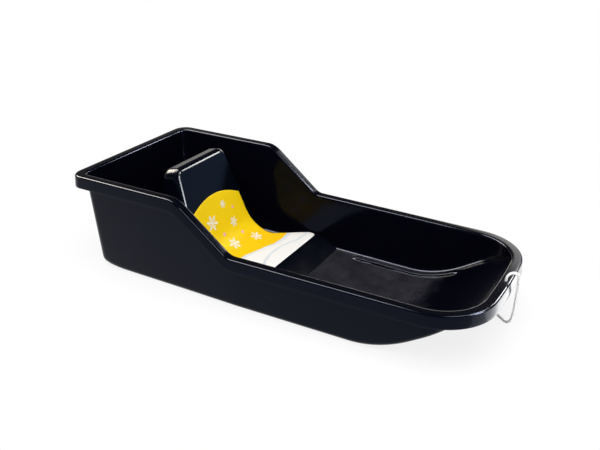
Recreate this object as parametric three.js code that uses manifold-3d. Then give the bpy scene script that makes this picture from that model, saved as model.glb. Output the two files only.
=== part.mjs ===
// Baby pull sled: a black moulded tub with a tall luggage end, a seat with a backrest
// set into it, a label on the seat and a white pull rope knotted into the nose.
// Millimetres. +X points forward, +Z up, the tub rests on z = 0 and is mirrored about y = 0.

import * as THREE from "three";
import { mergeVertices } from "three/addons/utils/BufferGeometryUtils.js";
import Module from "manifold-3d";

const wasm = await Module();
wasm.setup();

// Tub: outline seen from above, at the outer edge of the rim
const LENGTH = 900;
const REAR_HALF_WIDTH = 192.5;
const NOSE_HALF_WIDTH = 180.5;
const REAR_CORNER_RADIUS = 30;
const NOSE_CORNER_RADIUS = 111;
const NOSE_BOW = 5.5;
const NOSE_BOW_CHORD_SHARE = 0.75;

// Tub: rim line seen from the side
const REAR_HEIGHT = 220;
const LOW_HEIGHT = 123;
const BEND_TOP_X = 277;
const BEND_LOW_X = 398;
const BEND_TOP_BLEND = 17;
const BEND_LOW_BLEND = 10;

// Tub: section of the rim, the wall and the floor
const SHEET = 3.2;
const FLANGE_WIDTH = 18.5;
const LIP_HEIGHT = 25.7;
const LIP_FLARE = 1.7;
const RIM_ROUND = 3.6;
const INNER_EDGE_ROUND = 4.4;
const WALL_CORNER_RADIUS = 21;
const WALL_DRAFT_SHARE = 0.035;
const FLOOR_FILLET = 12.5;
const FILLET_HEIGHT_SHARE = 0.8;

// Tub: the floor sweeps up to the nose
const SWEEP_START_X = 648;
const SWEEP_ROUND_SHARE = 0.53;
const NOSE_WALL_HEIGHT = 12;

// Tub: two raised ribs in the footwell, hollow below as tracking grooves
const RIB_START_X = 510;
const RIB_END_X = 768;
const RIB_INSET = 45;
const RIB_HALF_WIDTH = 10;
const RIB_HEIGHT = 4;
const RIB_SIDE_SLOPE = 2;
const RIB_END_SLOPE = 9;

// Seat and backrest
const BACK_FACE_TOP_X = 206;
const BACK_TOP_HEIGHT = 231;
const BACK_THICKNESS = 37;
const BACK_LEAN_DEGREES = 18.3;
const BACK_REAR_DRAFT_DEGREES = 3;
const BACK_FRONT_ROUND = 9;
const BACK_REAR_ROUND = 11;
const BACK_RIM_SPACE = 103.5;
const BACK_HALF_WIDTH = REAR_HALF_WIDTH - BACK_RIM_SPACE;
const BACK_SIDE_DRAFT_SHARE = 0.13;
const BACK_SIDE_ROUND = 8;
const SEAT_CURVE_RADIUS = 62;
const SEAT_HEIGHT = 27.7;
const SEAT_FRONT_X = 411;
const SEAT_FRONT_BLEND = 12;
const SEAT_RAMP_END_X = 463;
const SEAT_RAMP_END_THICKNESS = 1.6;
const SEAT_FLARE_START_X = 312;
const SEAT_FLARE_SHARE = 0.66;
const SEAT_FLARE_BLEND = 12;
const SEAT_SHEET = 3;
const SEAT_WALL_CLEARANCE = 0.8;
const SEAT_FOOT_DEPTH = 26;
const SIDE_FOOT_LENGTH = 34;
const SIDE_FOOT_WIDTH = 24;
const SIDE_FOOT_X = 246;

// Rivets that hold the seat to the floor
const RIVET_SHANK_RADIUS = 3;
const RIVET_HEAD_RADIUS = 6.6;
const RIVET_DOME_HEIGHT = 2.6;
const REAR_RIVET_INSET = 17;
const RIVET_CLEARANCE = 0.35;

// Label on the seat
const LABEL_THICKNESS = 0.4;
const LABEL_MARGIN = 3;
const LABEL_TOP_HEIGHT = 128;
const LABEL_TOP_ARCH = 24;
const LABEL_FRONT_X = 406;

// Rope
const ROPE_DIAMETER = 5;
const ROPE_HOLE_RADIUS = 4.2;
const ROPE_HOLE_INSET = 10;
const ROPE_SIDES = 8;
const ROPE_STEP_SHARE = 2.2;
const ROPE_STAND = 0.3;
const STOP_KNOT_RADIUS = 5.5;
const STOP_KNOT_LENGTH = 12;
const HAND_KNOT_RADIUS = 8;
const HAND_KNOT_LENGTH = 17;
const HAND_KNOT_X = 345.2;
const HAND_KNOT_Y = 222;

// Rope coil behind the tub
const COIL_CENTRE_X = 470;
const COIL_CENTRE_Y = 262;
const COIL_OUTER_RADIUS = 34;
const COIL_PITCH = 6.2;
const COIL_LAYER_STEP = 5.9;
const COIL_LOOPS_PER_LAYER = 3;
const COIL_LEAD = 12;
const TIE_THICKNESS = 0.9;
const TIE_WIDTH = 7;
const TIE_GAP = 0.6;
const TIE_LIFT = 0.1;

// Gaps
const SEAT_GAP = 0.3;
const OVERRUN = 6;

const BLACK_TUB = 0x16191f;
const BLACK_SEAT = 0x1a2230;
const LABEL_YELLOW = 0xf8c617;
const ROPE_WHITE = 0xf1f1ee;
const TIE_GREY = 0x3a3d42;

const BACK_LEAN = THREE.MathUtils.degToRad(BACK_LEAN_DEGREES);
const BACK_REAR_DRAFT = THREE.MathUtils.degToRad(BACK_REAR_DRAFT_DEGREES);

// Solids

function toManifold(geometry) {
  const bare = geometry.clone();
  bare.deleteAttribute("normal");
  bare.deleteAttribute("uv");
  const merged = mergeVertices(bare);
  const mesh = new wasm.Mesh({
    numProp: 3,
    vertProperties: new Float32Array(merged.attributes.position.array),
    triVerts: new Uint32Array(merged.index.array),
  });
  return new wasm.Manifold(mesh);
}

function fromManifold(manifold) {
  const mesh = manifold.getMesh();
  const geometry = new THREE.BufferGeometry();
  geometry.setAttribute("position", new THREE.BufferAttribute(mesh.vertProperties, mesh.numProp));
  geometry.setIndex(new THREE.BufferAttribute(mesh.triVerts, 1));
  return geometry;
}

// A closed geometry from points [x, y, z] and triangles, turned so that its faces point out.
function closedGeometry(points, triangles) {
  let volume = 0;
  const a = new THREE.Vector3();
  const b = new THREE.Vector3();
  const c = new THREE.Vector3();
  for (const [i, j, k] of triangles) {
    a.set(...points[i]);
    b.set(...points[j]);
    c.set(...points[k]);
    volume += a.dot(b.cross(c));
  }
  const index = triangles.flatMap(([i, j, k]) => (volume > 0 ? [i, j, k] : [i, k, j]));
  const geometry = new THREE.BufferGeometry();
  geometry.setAttribute("position", new THREE.Float32BufferAttribute(points.flat(), 3));
  geometry.setIndex(index);
  return geometry;
}

// Rings of equal length joined one to the next; each end is capped by the triangles of capOf(count).
function loft(rings, capOf) {
  const count = rings[0].length;
  const points = rings.flat();
  const triangles = [];
  for (let r = 0; r + 1 < rings.length; r += 1) {
    for (let i = 0; i < count; i += 1) {
      const next = (i + 1) % count;
      const near = r * count;
      const far = near + count;
      triangles.push([near + i, near + next, far + next]);
      triangles.push([near + i, far + next, far + i]);
    }
  }
  const last = (rings.length - 1) * count;
  for (const [i, j, k] of capOf(count)) {
    triangles.push([i, k, j]);
    triangles.push([last + i, last + j, last + k]);
  }
  return closedGeometry(points, triangles);
}

// Cap of a convex ring: a fan from its first point.
function fanCap(count) {
  const cap = [];
  for (let i = 1; i + 1 < count; i += 1) cap.push([0, i, i + 1]);
  return cap;
}

// Cap of a ring whose second half mirrors its first: straight strips from side to side.
function stripCap(count) {
  const cap = [];
  const half = Math.floor(count / 2);
  for (let i = 0; i + 1 < half; i += 1) {
    cap.push([i, i + 1, count - 2 - i]);
    cap.push([i, count - 2 - i, count - 1 - i]);
  }
  if (count % 2 === 1) cap.push([half - 1, half, half + 1]);
  return cap;
}

function steps(count, from, to) {
  const values = [];
  for (let i = 0; i <= count; i += 1) values.push(from + ((to - from) * i) / count);
  return values;
}

// Two straight lines through (corner, 0) joined by a parabola that is 2 blends long:
// the rise above the first line when the second climbs by slopeChange more.
function blendedCorner(x, corner, blend, slopeChange) {
  if (x <= corner - blend) return 0;
  if (x >= corner + blend) return slopeChange * (x - corner);
  return (slopeChange * (x - corner + blend) ** 2) / (4 * blend);
}

// Tub

const RIM_SLOPE = (LOW_HEIGHT - REAR_HEIGHT) / (BEND_LOW_X - BEND_TOP_X);

function rimHeight(x) {
  const down = blendedCorner(x, BEND_TOP_X, BEND_TOP_BLEND, RIM_SLOPE);
  const level = blendedCorner(x, BEND_LOW_X, BEND_LOW_BLEND, -RIM_SLOPE);
  return REAR_HEIGHT + down + level;
}

function rimSlope(x) {
  const step = BEND_LOW_BLEND / 10;
  return (rimHeight(x + step) - rimHeight(x - step)) / (2 * step);
}

const SWEEP_END_X = LENGTH - FLANGE_WIDTH;
const SWEEP_END_HEIGHT = LOW_HEIGHT - NOSE_WALL_HEIGHT;

// Underside of the floor: flat, then a parabola, then a straight ramp up to the nose.
function floorHeight(x) {
  const share = THREE.MathUtils.clamp((x - SWEEP_START_X) / (SWEEP_END_X - SWEEP_START_X), 0, 1);
  const round = SWEEP_ROUND_SHARE;
  if (share < round) return (SWEEP_END_HEIGHT * share ** 2) / (round * (2 - round));
  return (SWEEP_END_HEIGHT * (2 * share - round)) / (2 - round);
}

function floorSlope(x) {
  const share = THREE.MathUtils.clamp((x - SWEEP_START_X) / (SWEEP_END_X - SWEEP_START_X), 0, 1);
  const run = SWEEP_END_X - SWEEP_START_X;
  const round = SWEEP_ROUND_SHARE;
  return (SWEEP_END_HEIGHT / run) * ((2 * Math.min(share, round)) / (round * (2 - round)));
}

function floorTop(x) {
  return floorHeight(x) + SHEET * Math.hypot(1, floorSlope(x));
}

// Half width of the rim along its straight sides, which draw in from the bend to the nose.
const TAPER_SLOPE = (NOSE_HALF_WIDTH - REAR_HALF_WIDTH) / (LENGTH - BEND_TOP_X);

function rimHalfWidth(x) {
  return REAR_HALF_WIDTH + TAPER_SLOPE * Math.max(0, x - BEND_TOP_X);
}

// The nose: a bowed front edge and a corner arc that touches it and the side.
function noseArcs() {
  const chord = NOSE_BOW_CHORD_SHARE * NOSE_HALF_WIDTH;
  const bowRadius = (chord ** 2 + NOSE_BOW ** 2) / (2 * NOSE_BOW);
  const bowCentre = LENGTH - bowRadius;
  const side = Math.hypot(1, TAPER_SLOPE);
  const along = [1 / side, TAPER_SLOPE / side];
  const inward = [TAPER_SLOPE / side, -1 / side];
  const fromBow = [
    BEND_TOP_X + inward[0] * NOSE_CORNER_RADIUS - bowCentre,
    REAR_HALF_WIDTH + inward[1] * NOSE_CORNER_RADIUS,
  ];
  const reach = bowRadius - NOSE_CORNER_RADIUS;
  const dot = fromBow[0] * along[0] + fromBow[1] * along[1];
  const rest = fromBow[0] ** 2 + fromBow[1] ** 2 - reach ** 2;
  const run = -dot + Math.sqrt(dot ** 2 - rest);
  const centre = [bowCentre + fromBow[0] + run * along[0], fromBow[1] + run * along[1]];
  const sideAngle = Math.atan2(-inward[1], -inward[0]);
  const bowAngle = Math.atan2(centre[1], centre[0] - bowCentre);
  return { bowRadius, bowCentre, centre, sideAngle, bowAngle };
}

const NOSE = noseArcs();
const REAR_CORNER_STEPS = 7;
const NOSE_CORNER_STEPS = 13;
const NOSE_BOW_STEPS = 4;

// Stations of half the outline, from the rear edge round to the nose. Each turns an inset
// and the radius of the rear corner into a point, so that every level has the same stations.
function outlineStations() {
  const stations = [];
  for (const angle of steps(REAR_CORNER_STEPS, Math.PI, Math.PI / 2)) {
    stations.push((inset, corner) => [
      inset + corner * (1 + Math.cos(angle)),
      REAR_HALF_WIDTH - inset - corner * (1 - Math.sin(angle)),
    ]);
  }
  const cornerStart = NOSE.centre[0] + NOSE_CORNER_RADIUS * Math.cos(NOSE.sideAngle);
  const rearCornerEnd = FLANGE_WIDTH + WALL_CORNER_RADIUS + WALL_DRAFT_SHARE * REAR_HEIGHT;
  const sideXs = [
    ...steps(1, rearCornerEnd + OVERRUN, BEND_TOP_X - BEND_TOP_BLEND),
    ...steps(6, BEND_TOP_X - BEND_TOP_BLEND, BEND_TOP_X + BEND_TOP_BLEND).slice(1),
    ...steps(5, BEND_LOW_X - BEND_LOW_BLEND, BEND_LOW_X + BEND_LOW_BLEND),
    ...steps(2, BEND_LOW_X + BEND_LOW_BLEND, SWEEP_START_X).slice(1),
    ...steps(7, SWEEP_START_X, cornerStart).slice(1, -1),
  ];
  for (const x of sideXs) {
    const lean = Math.hypot(1, x > BEND_TOP_X ? TAPER_SLOPE : 0);
    stations.push((inset) => [x, rimHalfWidth(x) - inset * lean]);
  }
  for (const angle of steps(NOSE_CORNER_STEPS, NOSE.sideAngle, NOSE.bowAngle)) {
    stations.push((inset) => [
      NOSE.centre[0] + (NOSE_CORNER_RADIUS - inset) * Math.cos(angle),
      NOSE.centre[1] + (NOSE_CORNER_RADIUS - inset) * Math.sin(angle),
    ]);
  }
  for (const angle of steps(NOSE_BOW_STEPS, NOSE.bowAngle, 0).slice(1)) {
    stations.push((inset) => [
      NOSE.bowCentre + (NOSE.bowRadius - inset) * Math.cos(angle),
      (NOSE.bowRadius - inset) * Math.sin(angle),
    ]);
  }
  return stations;
}

const STATIONS = outlineStations();

// Section of the tub at one station, from the middle of the underside round the rim to the
// inner floor, as points [x, y, z] on the near half.
function tubSection(station) {
  const rimX = station(0, REAR_CORNER_RADIUS)[0];
  const rim = rimHeight(rimX);
  const flangeDrop = SHEET * Math.hypot(1, rimSlope(rimX));
  const points = [];
  const place = (inset, corner, heightOf) => {
    const [x, y] = station(inset, corner);
    points.push([x, y, heightOf(x)]);
  };

  const rimCornerAt = (inset, wallInset, wallCorner) => (
    REAR_CORNER_RADIUS + ((wallCorner - REAR_CORNER_RADIUS) * inset) / wallInset
  );
  const wallFoot = (wallInset, corner, surface, top, filletLimit) => {
    const reach = wallInset + WALL_DRAFT_SHARE * (top - surface(station(wallInset, corner)[0]));
    const foot = surface(station(reach, corner)[0]);
    const radius = Math.min(filletLimit, FILLET_HEIGHT_SHARE * (top - foot));
    return { reach, radius };
  };

  // Outer face of the wall, from the floor up
  const outerTop = rim - flangeDrop;
  const outer = wallFoot(FLANGE_WIDTH, WALL_CORNER_RADIUS, floorHeight, outerTop, FLOOR_FILLET);
  for (const turn of steps(5, Math.PI / 2, 0)) {
    const inset = outer.reach + outer.radius * (1 - Math.cos(turn));
    const corner = WALL_CORNER_RADIUS - (inset - outer.reach);
    place(inset, corner, (x) => floorHeight(x) + outer.radius * (1 - Math.sin(turn)));
  }
  place(FLANGE_WIDTH, WALL_CORNER_RADIUS, () => outerTop);

  // Underside of the flange and inside of the lip
  place(SHEET, rimCornerAt(SHEET, FLANGE_WIDTH, WALL_CORNER_RADIUS), () => outerTop);
  place(SHEET - LIP_FLARE, REAR_CORNER_RADIUS + LIP_FLARE - SHEET, () => rim - LIP_HEIGHT);

  // Outside of the lip and top of the flange
  place(-LIP_FLARE, REAR_CORNER_RADIUS + LIP_FLARE, () => rim - LIP_HEIGHT);
  const innerWall = FLANGE_WIDTH + SHEET;
  const innerCorner = WALL_CORNER_RADIUS - SHEET;
  for (const turn of steps(4, 0, Math.PI / 2)) {
    const inset = RIM_ROUND * (1 - Math.cos(turn));
    place(inset, rimCornerAt(inset, innerWall, innerCorner), () => rim - RIM_ROUND * (1 - Math.sin(turn)));
  }
  for (const turn of steps(4, Math.PI / 2, 0)) {
    const inset = innerWall - INNER_EDGE_ROUND * (1 - Math.cos(turn));
    const drop = INNER_EDGE_ROUND * (1 - Math.sin(turn));
    place(inset, rimCornerAt(inset, innerWall, innerCorner), () => rim - drop);
  }

  // Inner face of the wall, down to the floor
  const innerTop = rim - INNER_EDGE_ROUND;
  const inner = wallFoot(innerWall, innerCorner, floorTop, innerTop, FLOOR_FILLET - SHEET);
  for (const turn of steps(5, 0, Math.PI / 2)) {
    const inset = inner.reach + inner.radius * (1 - Math.cos(turn));
    const corner = innerCorner - (inset - inner.reach);
    place(inset, corner, (x) => floorTop(x) + inner.radius * (1 - Math.sin(turn)));
  }
  return points;
}

function mirrored([x, y, z]) {
  return [x, -y, z];
}

function tubShell() {
  const sections = STATIONS.map(tubSection);
  const tip = sections.pop().map(([x, , z]) => [x, 0, z]);
  const rings = tip.map((tipPoint, level) => {
    const half = sections.map((section) => section[level]);
    return [...half, tipPoint, ...half.map(mirrored).reverse()];
  });
  return toManifold(loft(rings, stripCap));
}

// A bar along X on the floor whose section and height follow the functions given.
function floorBar(xs, centreOf, halfWidthOf, lowOf, highOf, sideSlope) {
  const rings = xs.map((x) => {
    const y = centreOf(x);
    const low = lowOf(x);
    const high = highOf(x);
    const half = halfWidthOf(x);
    const top = Math.max(half - sideSlope, half / 2);
    return [[x, y - half, low], [x, y + half, low], [x, y + top, high], [x, y - top, high]];
  });
  return toManifold(loft(rings, fanCap));
}

function ribCentre(x) {
  return rimHalfWidth(x) - RIB_INSET;
}

// Rise of the rib above the floor between two ends, from just below the surface at each end.
function ribRise(x, start, end) {
  const share = THREE.MathUtils.clamp(Math.min(x - start, end - x) / RIB_END_SLOPE, 0, 1);
  return (RIB_HEIGHT + SHEET / 4) * share - SHEET / 4;
}

function ribStations(start, end) {
  return [start, ...steps(9, start + RIB_END_SLOPE, end - RIB_END_SLOPE), end];
}

// side is 1 or -1: a rib and the groove below it
function withRib(shell, side) {
  const centre = (x) => side * ribCentre(x);
  const rib = floorBar(
    ribStations(RIB_START_X, RIB_END_X),
    centre,
    () => RIB_HALF_WIDTH,
    (x) => floorHeight(x) + SHEET / 2,
    (x) => floorTop(x) + ribRise(x, RIB_START_X, RIB_END_X),
    RIB_SIDE_SLOPE,
  );
  const grooveStart = RIB_START_X + SHEET;
  const grooveEnd = RIB_END_X - SHEET;
  const groove = floorBar(
    ribStations(grooveStart, grooveEnd),
    centre,
    () => RIB_HALF_WIDTH - SHEET,
    (x) => floorHeight(x) - OVERRUN,
    (x) => floorHeight(x) + ribRise(x, grooveStart, grooveEnd),
    RIB_SIDE_SLOPE,
  );
  return shell.add(rib).subtract(groove);
}

const ROUND_SEGMENTS = 20;

function turned(profile, x, y) {
  const points = profile.map(([radius, height]) => new THREE.Vector2(radius, height));
  const geometry = new THREE.LatheGeometry(points, ROUND_SEGMENTS);
  geometry.rotateX(Math.PI / 2);
  geometry.translate(x, y, 0);
  return geometry;
}

const ROPE_HOLE_X = LENGTH - ROPE_HOLE_INSET;

function ropeHole() {
  const radius = ROPE_HOLE_RADIUS;
  const low = LOW_HEIGHT - SHEET - OVERRUN / 2;
  const high = LOW_HEIGHT + OVERRUN;
  return toManifold(turned([[0, low], [radius, low], [radius, high], [0, high]], ROPE_HOLE_X, 0));
}

// Seat: its top is a height above the floor for every x

const SEAT_BASE = SHEET + SEAT_GAP;
const FOOT_TOP = SEAT_BASE + SEAT_SHEET;
const BACK_REAR_TOP_X = BACK_FACE_TOP_X - BACK_THICKNESS;
const BACK_REAR_FOOT_X = BACK_REAR_TOP_X - (BACK_TOP_HEIGHT - FOOT_TOP) * Math.tan(BACK_REAR_DRAFT);
const FOOT_REAR_X = BACK_REAR_FOOT_X - SEAT_FOOT_DEPTH;

function arc(centreX, centreZ, radius, fromAngle, toAngle, count) {
  return steps(count, fromAngle, toAngle).map((angle) => [
    centreX + radius * Math.cos(angle),
    centreZ + radius * Math.sin(angle),
  ]);
}

// Side view of the seat from the rear foot to the front end of the ramp.
function seatProfile() {
  const rearCentreZ = BACK_TOP_HEIGHT - BACK_REAR_ROUND;
  const rearFaceX = BACK_REAR_TOP_X + BACK_REAR_ROUND * (1 - Math.cos(BACK_REAR_DRAFT));
  const rear = arc(
    rearFaceX + BACK_REAR_ROUND * Math.cos(BACK_REAR_DRAFT),
    rearCentreZ,
    BACK_REAR_ROUND,
    Math.PI - BACK_REAR_DRAFT,
    Math.PI / 2,
    5,
  );
  const frontCentreX = BACK_FACE_TOP_X - BACK_FRONT_ROUND * Math.cos(BACK_LEAN);
  const frontCentreZ = BACK_TOP_HEIGHT - BACK_FRONT_ROUND;
  const front = arc(frontCentreX, frontCentreZ, BACK_FRONT_ROUND, Math.PI / 2, BACK_LEAN, 5);
  const faceTop = front[front.length - 1];
  const curveStartZ = SEAT_HEIGHT + SEAT_CURVE_RADIUS * (1 - Math.sin(BACK_LEAN));
  const curveStartX = faceTop[0] + (faceTop[1] - curveStartZ) * Math.tan(BACK_LEAN);
  const curve = arc(
    curveStartX + SEAT_CURVE_RADIUS * Math.cos(BACK_LEAN),
    SEAT_HEIGHT + SEAT_CURVE_RADIUS,
    SEAT_CURVE_RADIUS,
    Math.PI + BACK_LEAN,
    1.5 * Math.PI,
    9,
  );
  const faceSteps = steps(4, 0, 1).slice(1, -1).map((share) => [
    faceTop[0] + (curve[0][0] - faceTop[0]) * share,
    faceTop[1] + (curve[0][1] - faceTop[1]) * share,
  ]);
  const rampEndZ = SEAT_BASE + SEAT_RAMP_END_THICKNESS;
  const rampSlope = (rampEndZ - SEAT_HEIGHT) / (SEAT_RAMP_END_X - SEAT_FRONT_X);
  const panXs = [
    ...steps(3, SEAT_FLARE_START_X - SEAT_FLARE_BLEND, SEAT_FLARE_START_X + SEAT_FLARE_BLEND),
    ...steps(5, SEAT_FLARE_START_X + SEAT_FLARE_BLEND, SEAT_FRONT_X - SEAT_FRONT_BLEND).slice(1),
    ...steps(4, SEAT_FRONT_X - SEAT_FRONT_BLEND, SEAT_FRONT_X + SEAT_FRONT_BLEND).slice(1),
  ];
  const pan = panXs
    .filter((x) => x > curve[curve.length - 1][0])
    .map((x) => [x, SEAT_HEIGHT + blendedCorner(x, SEAT_FRONT_X, SEAT_FRONT_BLEND, rampSlope)]);
  return [
    [FOOT_REAR_X, FOOT_TOP],
    [BACK_REAR_FOOT_X, FOOT_TOP],
    ...rear,
    ...front,
    ...faceSteps,
    ...curve,
    ...pan,
    [SEAT_RAMP_END_X, rampEndZ],
  ];
}

const SEAT_PROFILE = seatProfile();

// Unit normals of the profile, pointing up and out of the seat.
function profileNormals(profile) {
  return profile.map((point, i) => {
    const before = profile[Math.max(i - 1, 0)];
    const after = profile[Math.min(i + 1, profile.length - 1)];
    const run = [after[0] - before[0], after[1] - before[1]];
    const length = Math.hypot(...run);
    return [-run[1] / length, run[0] / length];
  });
}

const SEAT_NORMALS = profileNormals(SEAT_PROFILE);

// Half width of the clear space inside the tub at a height above its flat floor.
function tubInnerHalfWidth(x, z) {
  const innerTop = rimHeight(x) - INNER_EDGE_ROUND;
  const wall = rimHalfWidth(x) - FLANGE_WIDTH - SHEET - WALL_DRAFT_SHARE * (innerTop - z);
  const foot = rimHalfWidth(x) - FLANGE_WIDTH - SHEET - WALL_DRAFT_SHARE * (innerTop - SHEET);
  const radius = FLOOR_FILLET - SHEET;
  const below = radius - (z - SHEET);
  if (below <= 0) return wall;
  return foot - radius + Math.sqrt(Math.max(radius ** 2 - below ** 2, 0));
}

// Half width of the seat: the backrest's drafted sides, then a flare out to the tub's walls.
function seatHalfWidth(x, z) {
  const back = BACK_HALF_WIDTH + BACK_SIDE_DRAFT_SHARE * (BACK_TOP_HEIGHT - z);
  const flare = blendedCorner(x, SEAT_FLARE_START_X, SEAT_FLARE_BLEND, SEAT_FLARE_SHARE);
  return Math.min(back + flare, tubInnerHalfWidth(x, z - SEAT_GAP) - SEAT_WALL_CLEARANCE);
}

const SIDE_SHARES = [0, 0.12, 0.3, 0.6];
const EDGE_ROUND_STEPS = 4;
const LEAST_RISE_SHARE = 0.25;

// Cross-section of the seat at one station of its profile; sheet is how far in it lies.
function seatSection(i, sheet, base) {
  const x = SEAT_PROFILE[i][0] - sheet * SEAT_NORMALS[i][0];
  const top = SEAT_PROFILE[i][1] - sheet * SEAT_NORMALS[i][1];
  const steepness = 1 / Math.max(SEAT_NORMALS[i][1], LEAST_RISE_SHARE);
  const round = BACK_SIDE_ROUND - Math.min(sheet, BACK_SIDE_ROUND / 2);
  const drop = Math.min(round * steepness, (top - base) / 2);
  const half = [];
  for (const share of SIDE_SHARES) {
    const z = base + (top - drop - base) * share;
    half.push([x, seatHalfWidth(x, z) - sheet, z]);
  }
  const edge = seatHalfWidth(x, top - drop) - sheet;
  const reach = Math.min(round, 2 * drop);
  for (const turn of steps(EDGE_ROUND_STEPS, 0, Math.PI / 2)) {
    half.push([x, edge - reach * (1 - Math.cos(turn)), top - drop * (1 - Math.sin(turn))]);
  }
  return [...half, ...half.map(mirrored).reverse()];
}

function sideFoot(side) {
  const inner = BACK_HALF_WIDTH;
  const outer = sideFootEdge();
  const shape = new THREE.Shape();
  const start = SIDE_FOOT_X - SIDE_FOOT_LENGTH / 2;
  const end = SIDE_FOOT_X + SIDE_FOOT_LENGTH / 2;
  const round = SIDE_FOOT_WIDTH / 4;
  shape.moveTo(start, side * inner);
  shape.lineTo(start, side * (outer - round));
  shape.lineTo(start + round, side * outer);
  shape.lineTo(end - round, side * outer);
  shape.lineTo(end, side * (outer - round));
  shape.lineTo(end, side * inner);
  const geometry = new THREE.ExtrudeGeometry(shape, { depth: SEAT_SHEET, bevelEnabled: false });
  geometry.translate(0, 0, SEAT_BASE);
  return toManifold(geometry);
}

function sideFootEdge() {
  const clear = tubInnerHalfWidth(SIDE_FOOT_X, SEAT_BASE) - SEAT_WALL_CLEARANCE;
  return Math.min(seatHalfWidth(SIDE_FOOT_X, SEAT_BASE) + SIDE_FOOT_WIDTH, clear);
}

const RIVET_PLACES = {
  seat_rivet_rear_left: [(FOOT_REAR_X + BACK_REAR_FOOT_X) / 2, BACK_HALF_WIDTH - REAR_RIVET_INSET],
  seat_rivet_rear_right: [(FOOT_REAR_X + BACK_REAR_FOOT_X) / 2, REAR_RIVET_INSET - BACK_HALF_WIDTH],
  seat_rivet_left: [SIDE_FOOT_X, sideFootEdge() - SIDE_FOOT_WIDTH / 2],
  seat_rivet_right: [SIDE_FOOT_X, SIDE_FOOT_WIDTH / 2 - sideFootEdge()],
};

// The countersunk hole through the floor and the plain one through the seat's foot.
function rivetHole([x, y]) {
  const gap = RIVET_CLEARANCE;
  const shank = RIVET_SHANK_RADIUS + gap;
  const head = RIVET_HEAD_RADIUS + gap;
  const profile = [
    [0, -OVERRUN],
    [head, -OVERRUN],
    [head, SHEET / 8],
    [shank, SHEET - SHEET / 8],
    [shank, FOOT_TOP + OVERRUN],
    [0, FOOT_TOP + OVERRUN],
  ];
  return toManifold(turned(profile, x, y));
}

function rivet([x, y]) {
  const gap = RIVET_CLEARANCE;
  const dome = FOOT_TOP + gap;
  const profile = [
    [0, gap],
    [RIVET_HEAD_RADIUS - gap, gap],
    [RIVET_SHANK_RADIUS, SHEET - SHEET / 8],
    [RIVET_SHANK_RADIUS, dome],
    [RIVET_HEAD_RADIUS, dome],
    ...steps(4, 0, Math.PI / 2).slice(1, -1).map((turn) => [
      RIVET_HEAD_RADIUS * Math.cos(turn),
      dome + RIVET_DOME_HEIGHT * Math.sin(turn),
    ]),
    [0, dome + RIVET_DOME_HEIGHT],
  ];
  return turned(profile, x, y);
}

function withoutRivetHoles(solid) {
  return Object.values(RIVET_PLACES).reduce((rest, place) => rest.subtract(rivetHole(place)), solid);
}

function tub() {
  let shell = tubShell();
  shell = withRib(shell, 1);
  shell = withRib(shell, -1);
  shell = shell.subtract(ropeHole());
  return fromManifold(withoutRivetHoles(shell));
}

function seat() {
  const count = SEAT_PROFILE.length;
  const outside = [];
  const inside = [];
  for (let i = 0; i < count; i += 1) {
    outside.push(seatSection(i, 0, SEAT_BASE));
    const top = SEAT_PROFILE[i][1] - SEAT_SHEET * SEAT_NORMALS[i][1];
    const underBack = SEAT_PROFILE[i][0] > BACK_REAR_FOOT_X;
    if (underBack && top > SEAT_BASE + SEAT_RAMP_END_THICKNESS) {
      inside.push(seatSection(i, SEAT_SHEET, SEAT_BASE - SEAT_GAP / 2));
    }
  }
  const foot = inside[0].map(([, y, z]) => [BACK_REAR_FOOT_X + SEAT_SHEET, y, Math.min(z, FOOT_TOP)]);
  const hollow = toManifold(loft([foot, ...inside], stripCap));
  let body = toManifold(loft(outside, stripCap)).subtract(hollow);
  body = body.add(sideFoot(1).subtract(hollow)).add(sideFoot(-1).subtract(hollow));
  return fromManifold(withoutRivetHoles(body));
}

// Label

function profileLengths(profile) {
  const lengths = [0];
  for (let i = 0; i + 1 < profile.length; i += 1) {
    const run = Math.hypot(profile[i + 1][0] - profile[i][0], profile[i + 1][1] - profile[i][1]);
    lengths.push(lengths[i] + run);
  }
  return lengths;
}

// Length along the profile where its x (axis 0) or its height (axis 1) passes a value.
function lengthWhere(profile, lengths, axis, value) {
  for (let i = 0; i + 1 < profile.length; i += 1) {
    const from = profile[i][axis];
    const to = profile[i + 1][axis];
    if (from !== to && (value - from) * (value - to) <= 0) {
      return lengths[i] + ((lengths[i + 1] - lengths[i]) * (value - from)) / (to - from);
    }
  }
  return lengths[lengths.length - 1];
}

function alongProfile(profile, normals, lengths, distance) {
  const after = lengths.findIndex((length, i) => i > 0 && length >= distance);
  const i = (after < 0 ? lengths.length - 1 : after) - 1;
  const share = (distance - lengths[i]) / (lengths[i + 1] - lengths[i]);
  const mix = (a, b) => [a[0] + (b[0] - a[0]) * share, a[1] + (b[1] - a[1]) * share];
  return { point: mix(profile[i], profile[i + 1]), normal: mix(normals[i], normals[i + 1]) };
}

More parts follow.
